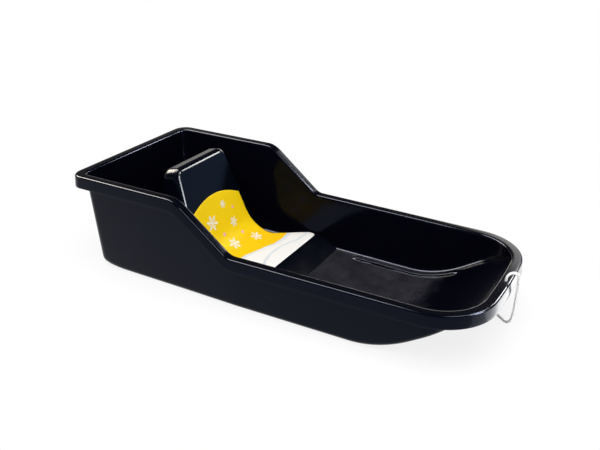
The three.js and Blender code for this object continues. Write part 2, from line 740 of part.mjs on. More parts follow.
// A thin skin on the backrest and the seat, with an arched top and a straight front edge.
function label() {
  const first = SEAT_PROFILE.findIndex(([x]) => x > BACK_FACE_TOP_X - BACK_FRONT_ROUND);
  const profile = SEAT_PROFILE.slice(first);
  const normals = SEAT_NORMALS.slice(first);
  const lengths = profileLengths(profile);
  const end = lengthWhere(profile, lengths, 0, LABEL_FRONT_X);
  const columns = steps(12, -1, 1);
  const rows = steps(30, 0, 1);
  const cell = (lift, row, share) => {
    const height = LABEL_TOP_HEIGHT + LABEL_TOP_ARCH * (1 - share ** 2);
    const start = lengthWhere(profile, lengths, 1, height);
    const { point, normal } = alongProfile(profile, normals, lengths, start + (end - start) * row);
    const half = seatHalfWidth(point[0], point[1]) - BACK_SIDE_ROUND - LABEL_MARGIN;
    return [point[0] + normal[0] * lift, share * half, point[1] + normal[1] * lift];
  };
  const sheetAt = (lift) => rows.map((row) => columns.map((share) => cell(lift, row, share)));
  return sheetSolid(sheetAt(SEAT_GAP), sheetAt(SEAT_GAP + LABEL_THICKNESS));
}

// A closed sheet from two grids of points with the same rows and columns.
function sheetSolid(low, high) {
  const rowCount = low.length;
  const columnCount = low[0].length;
  const points = [...low.flat(), ...high.flat()];
  const layer = rowCount * columnCount;
  const at = (row, column) => row * columnCount + column;
  const triangles = [];
  for (let r = 0; r + 1 < rowCount; r += 1) {
    for (let c = 0; c + 1 < columnCount; c += 1) {
      const [a, b, d, e] = [at(r, c), at(r, c + 1), at(r + 1, c), at(r + 1, c + 1)];
      triangles.push([a, b, e], [a, e, d]);
      triangles.push([layer + a, layer + e, layer + b], [layer + a, layer + d, layer + e]);
    }
  }
  const wall = (a, b) => triangles.push([a, layer + b, b], [a, layer + a, layer + b]);
  for (let c = 0; c + 1 < columnCount; c += 1) {
    wall(at(0, c), at(0, c + 1));
    wall(at(rowCount - 1, c + 1), at(rowCount - 1, c));
  }
  for (let r = 0; r + 1 < rowCount; r += 1) {
    wall(at(r, columnCount - 1), at(r + 1, columnCount - 1));
    wall(at(r + 1, 0), at(r, 0));
  }
  return closedGeometry(points, triangles);
}

// Rope

const ROPE_RADIUS = ROPE_DIAMETER / 2;

// The rope's way out of the hole in the nose, over the lip, down to the ground and under the
// nose to the far side, as chosen points.
const ROPE_ROUTE = [
  [890, 0, 119.8],
  [890, 0, 125],
  [891.2, 0.8, 131],
  [895, 3, 136.3],
  [900.5, 7, 138],
  [905.8, 11.5, 134.6],
  [908.6, 15, 127],
  [909.2, 18, 113],
  [908.4, 22, 85],
  [906, 28, 48],
  [901, 36, 20],
  [892, 47, 6.4],
  [879, 60, 3],
  [861, 77, 2.8],
  [840, 99, 2.8],
  [817, 130, 2.8],
  [788, 167, 2.8],
  [752, 201, 2.8],
  [712, 225, 2.8],
  [668, 237, 2.8],
  [622, 238, 2.8],
  [580, 233, 2.8],
  [545, 229, 3],
  [512, 228, 3.8],
  [496, 228, 4.1],
  [482.3, 228, 4.1],
];

// From the coil's upper layer down to the ground and on to the knot of the hand loop.
const TAIL_ROUTE = [
  [457.7, 228, 10],
  [448, 228, 9.9],
  [434, 227, 7.4],
  [420, 225, 4],
  [404, 223, 2.8],
  [386, 222, 3.2],
  [374, 222, 6],
  [362, 222, 8.3],
  [354, 222, 8.3],
];

// The hand loop, out of the knot's far face and back into it.
const HAND_LOOP_ROUTE = [
  [336.4, 225.1, 8.3],
  [329, 225.1, 7.6],
  [312, 234, 4],
  [286, 246, 2.8],
  [258, 246, 2.8],
  [240, 236, 2.8],
  [234, 222, 2.8],
  [240, 208, 2.8],
  [258, 198.4, 2.8],
  [286, 198.4, 2.8],
  [312, 210, 4],
  [329, 218.9, 7.6],
  [336.4, 218.9, 8.3],
];

const HAND_KNOT_CENTRE = [HAND_KNOT_X, HAND_KNOT_Y, HAND_KNOT_RADIUS + ROPE_STAND];

function polygon(radius, sides) {
  const shape = new THREE.Shape();
  for (const angle of steps(sides, 0, 2 * Math.PI).slice(0, -1)) {
    const point = [radius * Math.cos(angle), radius * Math.sin(angle)];
    if (angle === 0) shape.moveTo(...point);
    else shape.lineTo(...point);
  }
  return shape;
}

function ropeTube(route) {
  const curve = new THREE.CatmullRomCurve3(route.map((point) => new THREE.Vector3(...point)));
  const count = Math.ceil(curve.getLength() / (ROPE_STEP_SHARE * ROPE_DIAMETER));
  return new THREE.ExtrudeGeometry(polygon(ROPE_RADIUS, ROPE_SIDES), {
    steps: count,
    extrudePath: curve,
    bevelEnabled: false,
  });
}

// Share of a knot's radius at shares of its length: two wraps with a crease between.
const KNOT_SHARES = [
  [0, 0.72],
  [0.1, 0.9],
  [0.28, 1],
  [0.42, 0.94],
  [0.5, 0.86],
  [0.58, 0.94],
  [0.72, 1],
  [0.9, 0.9],
  [1, 0.72],
];

function knot(radius, length) {
  const points = KNOT_SHARES.map(([along, wide]) => [radius * wide, length * (along - 1 / 2)]);
  return turned([[0, -length / 2], ...points, [0, length / 2]], 0, 0);
}

function stopKnot() {
  const geometry = knot(STOP_KNOT_RADIUS, STOP_KNOT_LENGTH);
  const top = LOW_HEIGHT - SHEET - SEAT_GAP;
  geometry.translate(ROPE_HOLE_X, 0, top - STOP_KNOT_LENGTH / 2);
  return geometry;
}

function handKnot() {
  const geometry = knot(HAND_KNOT_RADIUS, HAND_KNOT_LENGTH);
  geometry.rotateY(Math.PI / 2);
  geometry.translate(...HAND_KNOT_CENTRE);
  return geometry;
}

// The coil: loops that spiral in on the lower layer, climb where the spiral turns back, and
// spiral out on the upper one, with a straight lead at each end.
const COIL_STEPS_PER_LOOP = 24;
const COIL_BASE = TIE_LIFT + TIE_THICKNESS + TIE_GAP + ROPE_RADIUS;

function coilPoint(loops) {
  const turn = COIL_LOOPS_PER_LAYER;
  const radius = COIL_OUTER_RADIUS - COIL_PITCH * (turn - Math.abs(loops - turn));
  const climb = THREE.MathUtils.clamp((loops - turn) * 2 + 1 / 2, 0, 1);
  const angle = -Math.PI / 2 - 2 * Math.PI * loops;
  return new THREE.Vector3(
    COIL_CENTRE_X + radius * Math.cos(angle),
    COIL_CENTRE_Y + radius * Math.sin(angle),
    COIL_BASE + COIL_LAYER_STEP * climb,
  );
}

function coilPath() {
  const loops = 2 * COIL_LOOPS_PER_LAYER;
  const path = steps(loops * COIL_STEPS_PER_LOOP, 0, loops).map(coilPoint);
  const lead = new THREE.Vector3(COIL_LEAD, 0, 0);
  return [path[0].clone().add(lead), ...path, path[path.length - 1].clone().sub(lead)];
}

// A tube of flat rings about a path, each ring square to the path.
function pathTube(path, radius, sides) {
  const up = new THREE.Vector3(0, 0, 1);
  const rings = path.map((point, i) => {
    const before = path[Math.max(i - 1, 0)];
    const after = path[Math.min(i + 1, path.length - 1)];
    const side = after.clone().sub(before).cross(up).normalize();
    const top = side.clone().cross(after.clone().sub(before)).normalize();
    return steps(sides, 0, 2 * Math.PI).slice(0, -1).map((angle) => point.clone()
      .addScaledVector(side, radius * Math.cos(angle))
      .addScaledVector(top, radius * Math.sin(angle))
      .toArray());
  });
  return loft(rings, fanCap);
}

// Least clear space between points of a path that lie more than half a loop apart.
function leastSelfGap(path, diameter) {
  let least = Infinity;
  for (let i = 0; i < path.length; i += 1) {
    for (let j = i + COIL_STEPS_PER_LOOP / 2; j < path.length; j += 1) {
      least = Math.min(least, path[i].distanceTo(path[j]));
    }
  }
  return least - diameter;
}

// A flat strap round the coil's rope on the side away from its ends.
function coilTie() {
  const highest = COIL_BASE + COIL_LAYER_STEP;
  const reach = ROPE_RADIUS + TIE_GAP;
  const outer = COIL_OUTER_RADIUS - COIL_PITCH / 2;
  const inner = COIL_OUTER_RADIUS - COIL_PITCH * (COIL_LOOPS_PER_LAYER - 1 / 2);
  const ring = (grow) => {
    const low = [COIL_CENTRE_Y + inner - reach - grow, COIL_BASE - reach - grow];
    const high = [COIL_CENTRE_Y + outer + reach + grow, highest + reach + grow];
    const round = reach / 2 + grow;
    return [
      [low[0] + round, low[1]],
      [high[0] - round, low[1]],
      [high[0], low[1] + round],
      [high[0], high[1] - round],
      [high[0] - round, high[1]],
      [low[0] + round, high[1]],
      [low[0], high[1] - round],
      [low[0], low[1] + round],
    ].map(([y, z]) => new THREE.Vector2(y, z));
  };
  const shape = new THREE.Shape(ring(TIE_THICKNESS));
  shape.holes.push(new THREE.Path(ring(0)));
  const geometry = new THREE.ExtrudeGeometry(shape, { depth: TIE_WIDTH, bevelEnabled: false });
  const alongX = new THREE.Matrix4().makeBasis(
    new THREE.Vector3(0, 1, 0),
    new THREE.Vector3(0, 0, 1),
    new THREE.Vector3(1, 0, 0),
  );
  geometry.applyMatrix4(alongX);
  geometry.translate(COIL_CENTRE_X - TIE_WIDTH / 2, 0, 0);
  return geometry;
}

// The sled, with its origin below the middle of the rim

function piece(name, geometry, color, roughness) {
  const material = new THREE.MeshStandardMaterial({ color, roughness, metalness: 0 });
  const mesh = new THREE.Mesh(geometry, material);
  mesh.name = name;
  return mesh;
}

const sled = new THREE.Group();
sled.position.x = -LENGTH / 2;
sled.add(piece("tub", tub(), BLACK_TUB, 0.22));
sled.add(piece("seat_with_backrest", seat(), BLACK_SEAT, 0.26));
for (const [name, place] of Object.entries(RIVET_PLACES)) {
  sled.add(piece(name, rivet(place), BLACK_TUB, 0.4));
}
sled.add(piece("seat_label", label(), LABEL_YELLOW, 0.4));
sled.add(piece("pull_rope", ropeTube(ROPE_ROUTE), ROPE_WHITE, 0.85));
sled.add(piece("rope_stop_knot", stopKnot(), ROPE_WHITE, 0.85));
const coil = coilPath();
sled.add(piece("rope_coil", pathTube(coil, ROPE_RADIUS, 6), ROPE_WHITE, 0.85));
console.log(`least gap of the rope coil to itself: ${leastSelfGap(coil, ROPE_DIAMETER).toFixed(2)} mm`);
sled.add(piece("coil_tie", coilTie(), TIE_GREY, 0.6));
sled.add(piece("rope_tail", ropeTube(TAIL_ROUTE), ROPE_WHITE, 0.85));
sled.add(piece("rope_hand_knot", handKnot(), ROPE_WHITE, 0.85));
sled.add(piece("rope_hand_loop", ropeTube(HAND_LOOP_ROUTE), ROPE_WHITE, 0.85));

export default sled;
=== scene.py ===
import math

import bmesh
import bpy
import numpy as np
from mathutils import Matrix
from bpy.props import FloatProperty, FloatVectorProperty, IntProperty, PointerProperty


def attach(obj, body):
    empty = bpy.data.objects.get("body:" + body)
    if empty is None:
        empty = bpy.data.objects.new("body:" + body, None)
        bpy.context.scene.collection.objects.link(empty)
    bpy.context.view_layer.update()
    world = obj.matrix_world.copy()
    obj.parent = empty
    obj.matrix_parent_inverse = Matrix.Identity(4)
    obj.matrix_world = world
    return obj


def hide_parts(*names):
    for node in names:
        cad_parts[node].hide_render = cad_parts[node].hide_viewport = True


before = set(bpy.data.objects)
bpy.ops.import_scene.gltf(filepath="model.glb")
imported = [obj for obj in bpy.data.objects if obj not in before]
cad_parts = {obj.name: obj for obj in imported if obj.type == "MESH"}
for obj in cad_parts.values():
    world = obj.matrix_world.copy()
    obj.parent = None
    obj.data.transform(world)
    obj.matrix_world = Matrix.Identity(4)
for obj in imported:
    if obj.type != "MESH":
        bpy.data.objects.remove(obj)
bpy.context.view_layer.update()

bl_info = {
    "name": "Baby pull sled",
    "version": (1, 0, 0),
    "blender": (4, 5, 0),
    "location": "View3D > Sidebar > Sled",
    "description": "Builds the visual pieces of a moulded baby pull sled and its stage",
    "category": "Add Mesh",
}

BODY = "root"
MM = 0.001
# Least distance in metres between points or faces that must not fall together
HAIR = 0.0002


# Settings

def size(name, default, description):
    """A length in metres."""
    return FloatProperty(name=name, default=default, description=description,
                         unit="LENGTH", precision=4, min=0.0)


def share(name, default, description):
    """A plain number: a share, a slope, a focal length or a power."""
    return FloatProperty(name=name, default=default, description=description, precision=3)


def degrees(name, default, description):
    """An angle, given in degrees."""
    return FloatProperty(name=name, default=math.radians(default), description=description,
                         subtype="ANGLE")


def colour(name, default, description):
    """A linear colour."""
    return FloatVectorProperty(name=name, default=default, description=description,
                               subtype="COLOR", size=3, min=0.0, max=1.0)


class TubSettings(bpy.types.PropertyGroup):
    """Sizes of the moulded tub."""

    length: size("Length", 0.900, "Tub length over the rim")
    rear_half_width: size("Rear half width", 0.1925, "Half width over the rim at the rear")
    nose_half_width: size("Nose half width", 0.1805, "Half width the sides draw in to at the nose")
    rear_corner: size("Rear corner", 0.030, "Corner radius of the rim at the rear")
    nose_corner: size("Nose corner", 0.111, "Corner radius of the rim at the nose")
    nose_bow: size("Nose bow", 0.0055, "How far the middle of the nose bows forward")
    nose_bow_chord: share("Nose bow chord", 0.75, "Share of the half width that the bow spans")
    rear_height: size("Rear height", 0.220, "Rim height at the rear")
    low_height: size("Low height", 0.123, "Rim height from the bend to the nose")
    bend_top_x: size("Bend top", 0.277, "Where the rim starts to drop, from the rear")
    bend_low_x: size("Bend foot", 0.398, "Where the rim is level again, from the rear")
    bend_top_blend: size("Bend top blend", 0.017, "Half length of the upper bend")
    bend_low_blend: size("Bend foot blend", 0.010, "Half length of the lower bend")
    sheet: size("Sheet", 0.0032, "Thickness of the moulding")
    flange_width: size("Flange width", 0.0185, "Width of the rim flange")
    lip_height: size("Lip height", 0.0257, "Height of the down-turned lip")
    lip_flare: size("Lip flare", 0.0017, "How far the foot of the lip stands out")
    rim_round: size("Rim round", 0.0036, "Radius of the rim's outer edge")
    inner_round: size("Inner edge round", 0.0044, "Radius of the rim's inner edge")
    wall_corner: size("Wall corner", 0.021, "Corner radius of the walls at the rear")
    wall_draft: share("Wall draft", 0.035, "Lean of the walls")
    floor_fillet: size("Floor fillet", 0.0125, "Outer radius between wall and floor")
    rear_fillet: size("Rear floor fillet", 0.023, "Outer radius between wall and floor at the rear")
    rear_fillet_end: size("Rear fillet end", 0.100, "Where the larger radius ends, from the rear")
    foot_corner: size("Foot corner", 0.026, "Corner radius at the foot of the rear walls")
    fillet_share: share("Fillet height share", 0.8, "Most of the wall's height that a fillet takes")
    sweep_start_x: size("Sweep start", 0.648, "Where the floor starts to rise, from the rear")
    sweep_round: share("Sweep round", 0.53, "Share of the sweep that is curved")
    nose_wall: size("Nose wall", 0.012, "Height of the wall left at the nose")
    rib_start_x: size("Rib start", 0.510, "Rear end of the ribs, from the rear")
    rib_end_x: size("Rib end", 0.768, "Front end of the ribs, from the rear")
    rib_inset: size("Rib inset", 0.045, "Rib centre inside the rim's edge")
    rib_half_width: size("Rib half width", 0.010, "Half width of a rib")
    rib_height: size("Rib height", 0.004, "Height of a rib")
    rib_slope: size("Rib side slope", 0.004, "Width of a rib's sloping side")
    rib_end_slope: size("Rib end slope", 0.018, "Length of a rib's sloping end")
    hole_radius: size("Rope hole radius", 0.0042, "Radius of the rope hole")
    hole_inset: size("Rope hole inset", 0.010, "Rope hole behind the tip of the nose")


class SeatSettings(bpy.types.PropertyGroup):
    """Sizes of the seat with its backrest, feet and rivets."""

    face_top_x: size("Face top", 0.206, "Top of the backrest's face, from the rear")
    top_height: size("Top height", 0.231, "Top of the backrest")
    thickness: size("Backrest thickness", 0.037, "Depth of the backrest's top")
    lean: degrees("Lean", 18.3, "Lean of the backrest's face")
    rear_draft: degrees("Rear draft", 3.0, "Lean of the backrest's rear wall")
    rear_round: size("Rear round", 0.011, "Radius between top and rear wall")
    top_tilt: degrees("Top tilt", 11.0, "Backward tilt of the backrest's top")
    half_width: size("Half width", 0.089, "Half width of the backrest at its top")
    side_draft: share("Side draft", 0.13, "Lean of the backrest's sides")
    bead: size("Bead", 0.0028, "Width of the flat bead round the face")
    bead_turn: degrees("Bead turn", 22.0, "Angle of the bead to the face")
    border: size("Border", 0.0125, "Length of the rounded border outside the bead")
    pan_border: share("Pan border", 0.36, "Share of the border's width left along the pan")
    face_corner: size("Face corner", 0.012, "Corner radius of the bead at the top of the face")
    curve_radius: size("Seat curve", 0.062, "Radius between backrest and seat")
    height: size("Seat height", 0.0277, "Height of the seat above the ground")
    front_x: size("Seat front", 0.411, "Front edge of the seat, from the rear")
    front_blend: size("Seat front blend", 0.012, "Half length of the bend at the seat's front")
    ramp_end_x: size("Ramp end", 0.463, "Foot of the ramp, from the rear")
    ramp_end: size("Ramp end thickness", 0.0016, "Thickness of the ramp's foot")
    flare_start_x: size("Flare start", 0.312, "Where the seat widens, from the rear")
    flare: share("Flare", 0.66, "Slope of the seat's widening sides")
    flare_blend: size("Flare blend", 0.012, "Half length of the bend where the seat widens")
    sheet: size("Sheet", 0.003, "Thickness of the seat moulding")
    wall_clearance: size("Wall clearance", 0.0008, "Gap between the seat and the tub's walls")
    gap: size("Floor gap", 0.0003, "Gap between the seat and the tub's floor")
    foot_depth: size("Foot depth", 0.026, "Depth of the foot behind the backrest")
    side_foot_x: size("Side foot", 0.246, "Middle of the side feet, from the rear")
    side_foot_length: size("Side foot length", 0.034, "Length of a side foot")
    side_foot_width: size("Side foot width", 0.024, "Width of a side foot")
    rivet_shank: size("Rivet shank", 0.003, "Radius of a rivet's shank")
    rivet_head: size("Rivet head", 0.0066, "Radius of a rivet's head")
    rivet_dome: size("Rivet dome", 0.0026, "Height of a rivet's domed head")
    rivet_gap: size("Rivet gap", 0.00035, "Clearance round a rivet")
    rear_rivet_y: size("Rear rivet spacing", 0.072, "Half the distance between the rear rivets")


class LabelSettings(bpy.types.PropertyGroup):
    """Sizes and colours of the printed label."""

    thickness: size("Thickness", 0.00025, "Thickness of the label")
    lift: size("Lift", 0.00012, "Gap below the label")
    margin: size("Margin", 0.003, "Bare strip beside the label")
    top_height: size("Top height", 0.128, "Height of the label's upper corners")
    top_arch: size("Top arch", 0.024, "Rise of the label's arched upper edge")
    front_x: size("Front", 0.406, "Straight front edge, from the rear")
    ground: colour("Ground", (0.90, 0.62, 0.003), "Yellow ground")
    shade: colour("Shade", (0.88, 0.46, 0.003), "Darker yellow of the drifts")
    snow: colour("Snow", (0.81, 0.80, 0.78), "White of the snow")
    frost: colour("Frost", (0.62, 0.66, 0.70), "Grey of the snow's folds")
    dots: colour("Dots", (0.82, 0.36, 0.40), "Pink of the dots")


class RopeSettings(bpy.types.PropertyGroup):
    """Sizes and colour of the rope, its coil and its tie."""

    diameter: size("Diameter", 0.005, "Diameter of the pull rope")
    coil_x: size("Coil X", 0.470, "Middle of the coil, from the rear")
    coil_y: size("Coil Y", 0.262, "Middle of the coil, to the left")
    coil_radius: size("Coil radius", 0.034, "Radius of the outermost loop")
    coil_pitch: size("Coil pitch", 0.0062, "Distance between loops")
    coil_layer: size("Coil layer", 0.0059, "Distance between layers")
    coil_loops: IntProperty(name="Loops per layer", default=3, min=1,
                            description="Loops in one layer of the coil")
    coil_lead: size("Coil lead", 0.012, "Straight rope at each end of the coil")
    tie_thickness: size("Tie thickness", 0.0009, "Thickness of the tie")
    tie_width: size("Tie width", 0.007, "Width of the tie")
    tie_gap: size("Tie gap", 0.0006, "Gap between tie and rope")
    tie_lift: size("Tie lift", 0.0001, "Gap below the tie")
    hand_knot_x: size("Hand knot X", 0.3452, "Middle of the hand knot, from the rear")
    hand_knot_y: size("Hand knot Y", 0.222, "Middle of the hand knot, to the left")
    colour: colour("Colour", (0.90, 0.90, 0.89), "White of the rope")


class FinishSettings(bpy.types.PropertyGroup):
    """Colours of the plastics."""

    tub: colour("Tub", (0.0012, 0.0014, 0.0038), "Black of the tub")
    tub_gloss: colour("Tub gloss", (0.53, 0.66, 1.0), "Tint of the tub's reflections")
    seat: colour("Seat", (0.0010, 0.0016, 0.0042), "Blue black of the seat")
    seat_gloss: colour("Seat gloss", (0.80, 0.88, 1.0), "Tint of the seat's reflections")
    # Lighter tone on low up-facing places: partly dust, partly a painted sheen of the overhead light
    dust_and_sheen: colour("Dust and sheen", (0.036, 0.036, 0.044), "Haze on the inner floor")
    dust_and_sheen_height: size("Dust and sheen height", 0.030, "Height up to which haze lies on the floor")


class StageSettings(bpy.types.PropertyGroup):
    """Camera and lights."""

    lens: share("Lens", 43.40, "Focal length in millimetres on 36 mm")
    azimuth: degrees("Azimuth", 29.94, "Turn of the camera about the upright")
    elevation: degrees("Elevation", 25.87, "Angle of the camera above the ground")
    place: FloatVectorProperty(name="Camera place", default=(0.6856, -1.1823, 0.7919), size=3,
                               unit="LENGTH", description="Where the camera stands")
    daylight: share("Daylight", 62.0, "Power of the soft light from above")
    ambient: share("Ambient", 0.62, "Light from all round")
    shadow: share("Shadow", 0.17, "How much of the shadow the floor shows next to the sled")


# Grids and meshes

def unit(vectors):
    """Vectors of length 1 in the same directions."""
    return vectors / np.linalg.norm(vectors, axis=-1, keepdims=True)


def stretches(start, ends):
    """Numbers from a start on to each end in turn. An end comes with its number of steps."""
    places = [start, *(end for end, _ in ends)]
    return np.concatenate([[start], *(
        np.linspace(a, b, count + 1)[1:] for a, b, (_, count) in zip(places, places[1:], ends))])


def eased(share):
    """From 0 to 1 as the share does, but level at both ends."""
    return share * share * (3 - 2 * share)


def grid_quads(rows, columns, close_rows=False, close_columns=False):
    """Quads between neighbouring points of a grid that is stored row by row."""
    r = np.arange(rows if close_rows else rows - 1)[:, None]
    c = np.arange(columns if close_columns else columns - 1)[None, :]
    r2 = (r + 1) % rows
    c2 = (c + 1) % columns
    corners = [r * columns + c, r * columns + c2, r2 * columns + c2, r2 * columns + c]
    return np.stack(np.broadcast_arrays(*corners), -1).reshape(-1, 4)


def make_mesh(name, points, faces, uv=None):
    """A mesh from an array of points and an array or list of faces; uv has one pair per point."""
    mesh = bpy.data.meshes.new(name)
    points = np.asarray(points, float).reshape(-1, 3).tolist()
    mesh.from_pydata(points, [], [list(map(int, face)) for face in faces])
    if uv is not None:
        layer = mesh.uv_layers.new(name="UVMap")
        corner = np.empty(len(mesh.loops), dtype=np.int64)
        mesh.loops.foreach_get("vertex_index", corner)
        layer.data.foreach_set("uv", np.asarray(uv, float).reshape(-1, 2)[corner].ravel())
    mesh.update()
    return mesh


def clean(mesh, merge=2e-6):
    """Merges doubled points, which drops faces without area, and turns the faces outwards."""
    bm = bmesh.new()
    bm.from_mesh(mesh)
    if merge:
        bmesh.ops.remove_doubles(bm, verts=bm.verts, dist=merge)
    bmesh.ops.recalc_face_normals(bm, faces=bm.faces)
    bm.to_mesh(mesh)
    bm.free()
    mesh.update()


def smooth(mesh, angle):
    """Smooth shading with crisp edges where faces meet at more than the angle, in degrees."""
    mesh.shade_smooth()
    mesh.set_sharp_from_angle(angle=math.radians(angle))


def place_piece(name, mesh, material, replaced):
    """An object at the origin that rides on the sled's body, with its material; the parts it replaces
    are hidden.
    """
    piece = bpy.data.objects.new(name, mesh)
    bpy.context.scene.collection.objects.link(piece)
    mesh.materials.append(material)
    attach(piece, BODY)
    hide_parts(*replaced)
    return piece


def turned(profile, centre, sides):
    """A profile of (radius, height) pairs carried round an upright axis through centre."""
    profile = np.asarray(profile, float)
    angle = np.linspace(0, 2 * np.pi, sides, endpoint=False)
    x = centre[0] + profile[:, :1] * np.cos(angle)
    y = centre[1] + profile[:, :1] * np.sin(angle)
    z = np.repeat(profile[:, 1:], sides, 1)
    return np.stack([x, y, z], -1), grid_quads(len(profile), sides, close_columns=True)


def tube(path, radius, sides):
    """Circles square to a path, with flat ends. Each is set by the path's direction and by a
    reference that turns from sideways, where the path starts upright, to upright, where it
    lies flat."""
    ahead = unit(np.gradient(path, axis=0))
    steep = np.clip(np.abs(ahead[:, 2]) * 1.6 - 0.5, 0, 1)[:, None]
    steep = np.maximum.accumulate(steep[::-1])[::-1]
    reference = steep * np.array([[0.0, 1.0, 0.0]]) + (1 - steep) * np.array([[0.0, 0.0, 1.0]])
    side = unit(np.cross(ahead, reference))
    top = np.cross(side, ahead)
    angle = np.linspace(0, 2 * np.pi, sides, endpoint=False)
    ring = side[:, None] * np.cos(angle)[None, :, None] + top[:, None] * np.sin(angle)[None, :, None]
    points = path[:, None] + radius * ring
    last = (len(path) - 1) * sides
    faces = grid_quads(len(path), sides, close_columns=True).tolist()
    faces += [list(range(sides))[::-1], [last + i for i in range(sides)]]
    return points.reshape(-1, 3), faces


def run_lengths(path):
    """Length along a path at each of its points."""
    step = np.linalg.norm(np.diff(path, axis=0), axis=1)
    return np.concatenate([[0.0], np.cumsum(step)])


def tube_uv(path, sides):
    """Along the path in metres, and round it from 0 to 1."""
    along = np.repeat(run_lengths(path), sides)
    round_it = np.tile(np.arange(sides) / sides, len(path))
    return np.stack([along, round_it], -1)


def through(points, spacing):
    """A smooth path through chosen points: a cubic between each two whose speed follows the
    square root of their distance, sampled at an even spacing."""
    samples = 40
    p = np.asarray(points, float)
    p = np.vstack([2 * p[0] - p[1], p, 2 * p[-1] - p[-2]])
    pieces = []
    for a, b, c, d in zip(p[:-3], p[1:-2], p[2:-1], p[3:]):
        gaps = [max(np.linalg.norm(v - u), 1e-9) ** 0.5 for u, v in ((a, b), (b, c), (c, d))]
        t = np.cumsum([0.0] + gaps)
        s = np.linspace(t[1], t[2], samples, endpoint=False)[:, None]
        ab = ((t[1] - s) * a + (s - t[0]) * b) / (t[1] - t[0])
        bc = ((t[2] - s) * b + (s - t[1]) * c) / (t[2] - t[1])
        cd = ((t[3] - s) * c + (s - t[2]) * d) / (t[3] - t[2])
        abc = ((t[2] - s) * ab + (s - t[0]) * bc) / (t[2] - t[0])
        bcd = ((t[3] - s) * bc + (s - t[1]) * cd) / (t[3] - t[1])
        pieces.append(((t[2] - s) * abc + (s - t[1]) * bcd) / (t[2] - t[1]))
    dense = np.vstack(pieces + [p[-2:-1]])
    length = run_lengths(dense)
    even = np.linspace(0, length[-1], max(int(round(length[-1] / spacing)), 2) + 1)
    return np.stack([np.interp(even, length, dense[:, axis]) for axis in range(3)], -1)


# Tub shape

def blended_corner(x, corner, blend, change):
    """Rise above a straight line after a corner, rounded by a parabola two blends long."""
    curved = change * (x - corner + blend) ** 2 / (4 * blend)
    straight = change * (x - corner)
    return np.where(x <= corner - blend, 0.0, np.where(x >= corner + blend, straight, curved))


def rim_height(t, x):
    """Rim line from the side: level, a straight drop, level."""
    slope = (t.low_height - t.rear_height) / (t.bend_low_x - t.bend_top_x)
    down = blended_corner(x, t.bend_top_x, t.bend_top_blend, slope)
    return t.rear_height + down + blended_corner(x, t.bend_low_x, t.bend_low_blend, -slope)


def sweep_share(t, x):
    """0 where the floor starts to rise and 1 at its upper end."""
    end = t.length - t.flange_width
    return np.clip((x - t.sweep_start_x) / (end - t.sweep_start_x), 0, 1)


def floor_height(t, x):
    """Underside of the floor: flat, a parabola, a straight ramp."""
    rise = t.low_height - t.nose_wall
    at = sweep_share(t, x)
    q = t.sweep_round
    return np.where(at < q, rise * at ** 2 / (q * (2 - q)), rise * (2 * at - q) / (2 - q))


def floor_top(t, x):
    """Inner floor: the underside plus the sheet measured square to it."""
    rise = t.low_height - t.nose_wall
    q = t.sweep_round
    run = t.length - t.flange_width - t.sweep_start_x
    slope = rise / run * 2 * np.minimum(sweep_share(t, x), q) / (q * (2 - q))
    return floor_height(t, x) + t.sheet * np.hypot(1, slope)


def taper(t):
    """Slope at which the sides draw in towards the nose."""
    return (t.nose_half_width - t.rear_half_width) / (t.length - t.bend_top_x)


def rim_half_width(t, x):
    """Half width of the rim along its straight sides."""
    return t.rear_half_width + taper(t) * np.maximum(0, x - t.bend_top_x)


def nose_arcs(t):
    """The bowed front edge, and the corner arc that touches it and the side."""
    chord = t.nose_bow_chord * t.nose_half_width
    bow = (chord ** 2 + t.nose_bow ** 2) / (2 * t.nose_bow)
    bow_x = t.length - bow
    along = np.array([1.0, taper(t)]) / math.hypot(1, taper(t))
    inward = np.array([along[1], -along[0]])
    start = np.array([t.bend_top_x - bow_x, t.rear_half_width]) + inward * t.nose_corner
    dot = float(start @ along)
    rest = float(start @ start) - (bow - t.nose_corner) ** 2
    centre = start + along * (-dot + math.sqrt(dot ** 2 - rest))
    side_angle = math.atan2(-inward[1], -inward[0])
    bow_angle = math.atan2(centre[1], centre[0])
    return bow, bow_x, (centre[0] + bow_x, centre[1]), side_angle, bow_angle


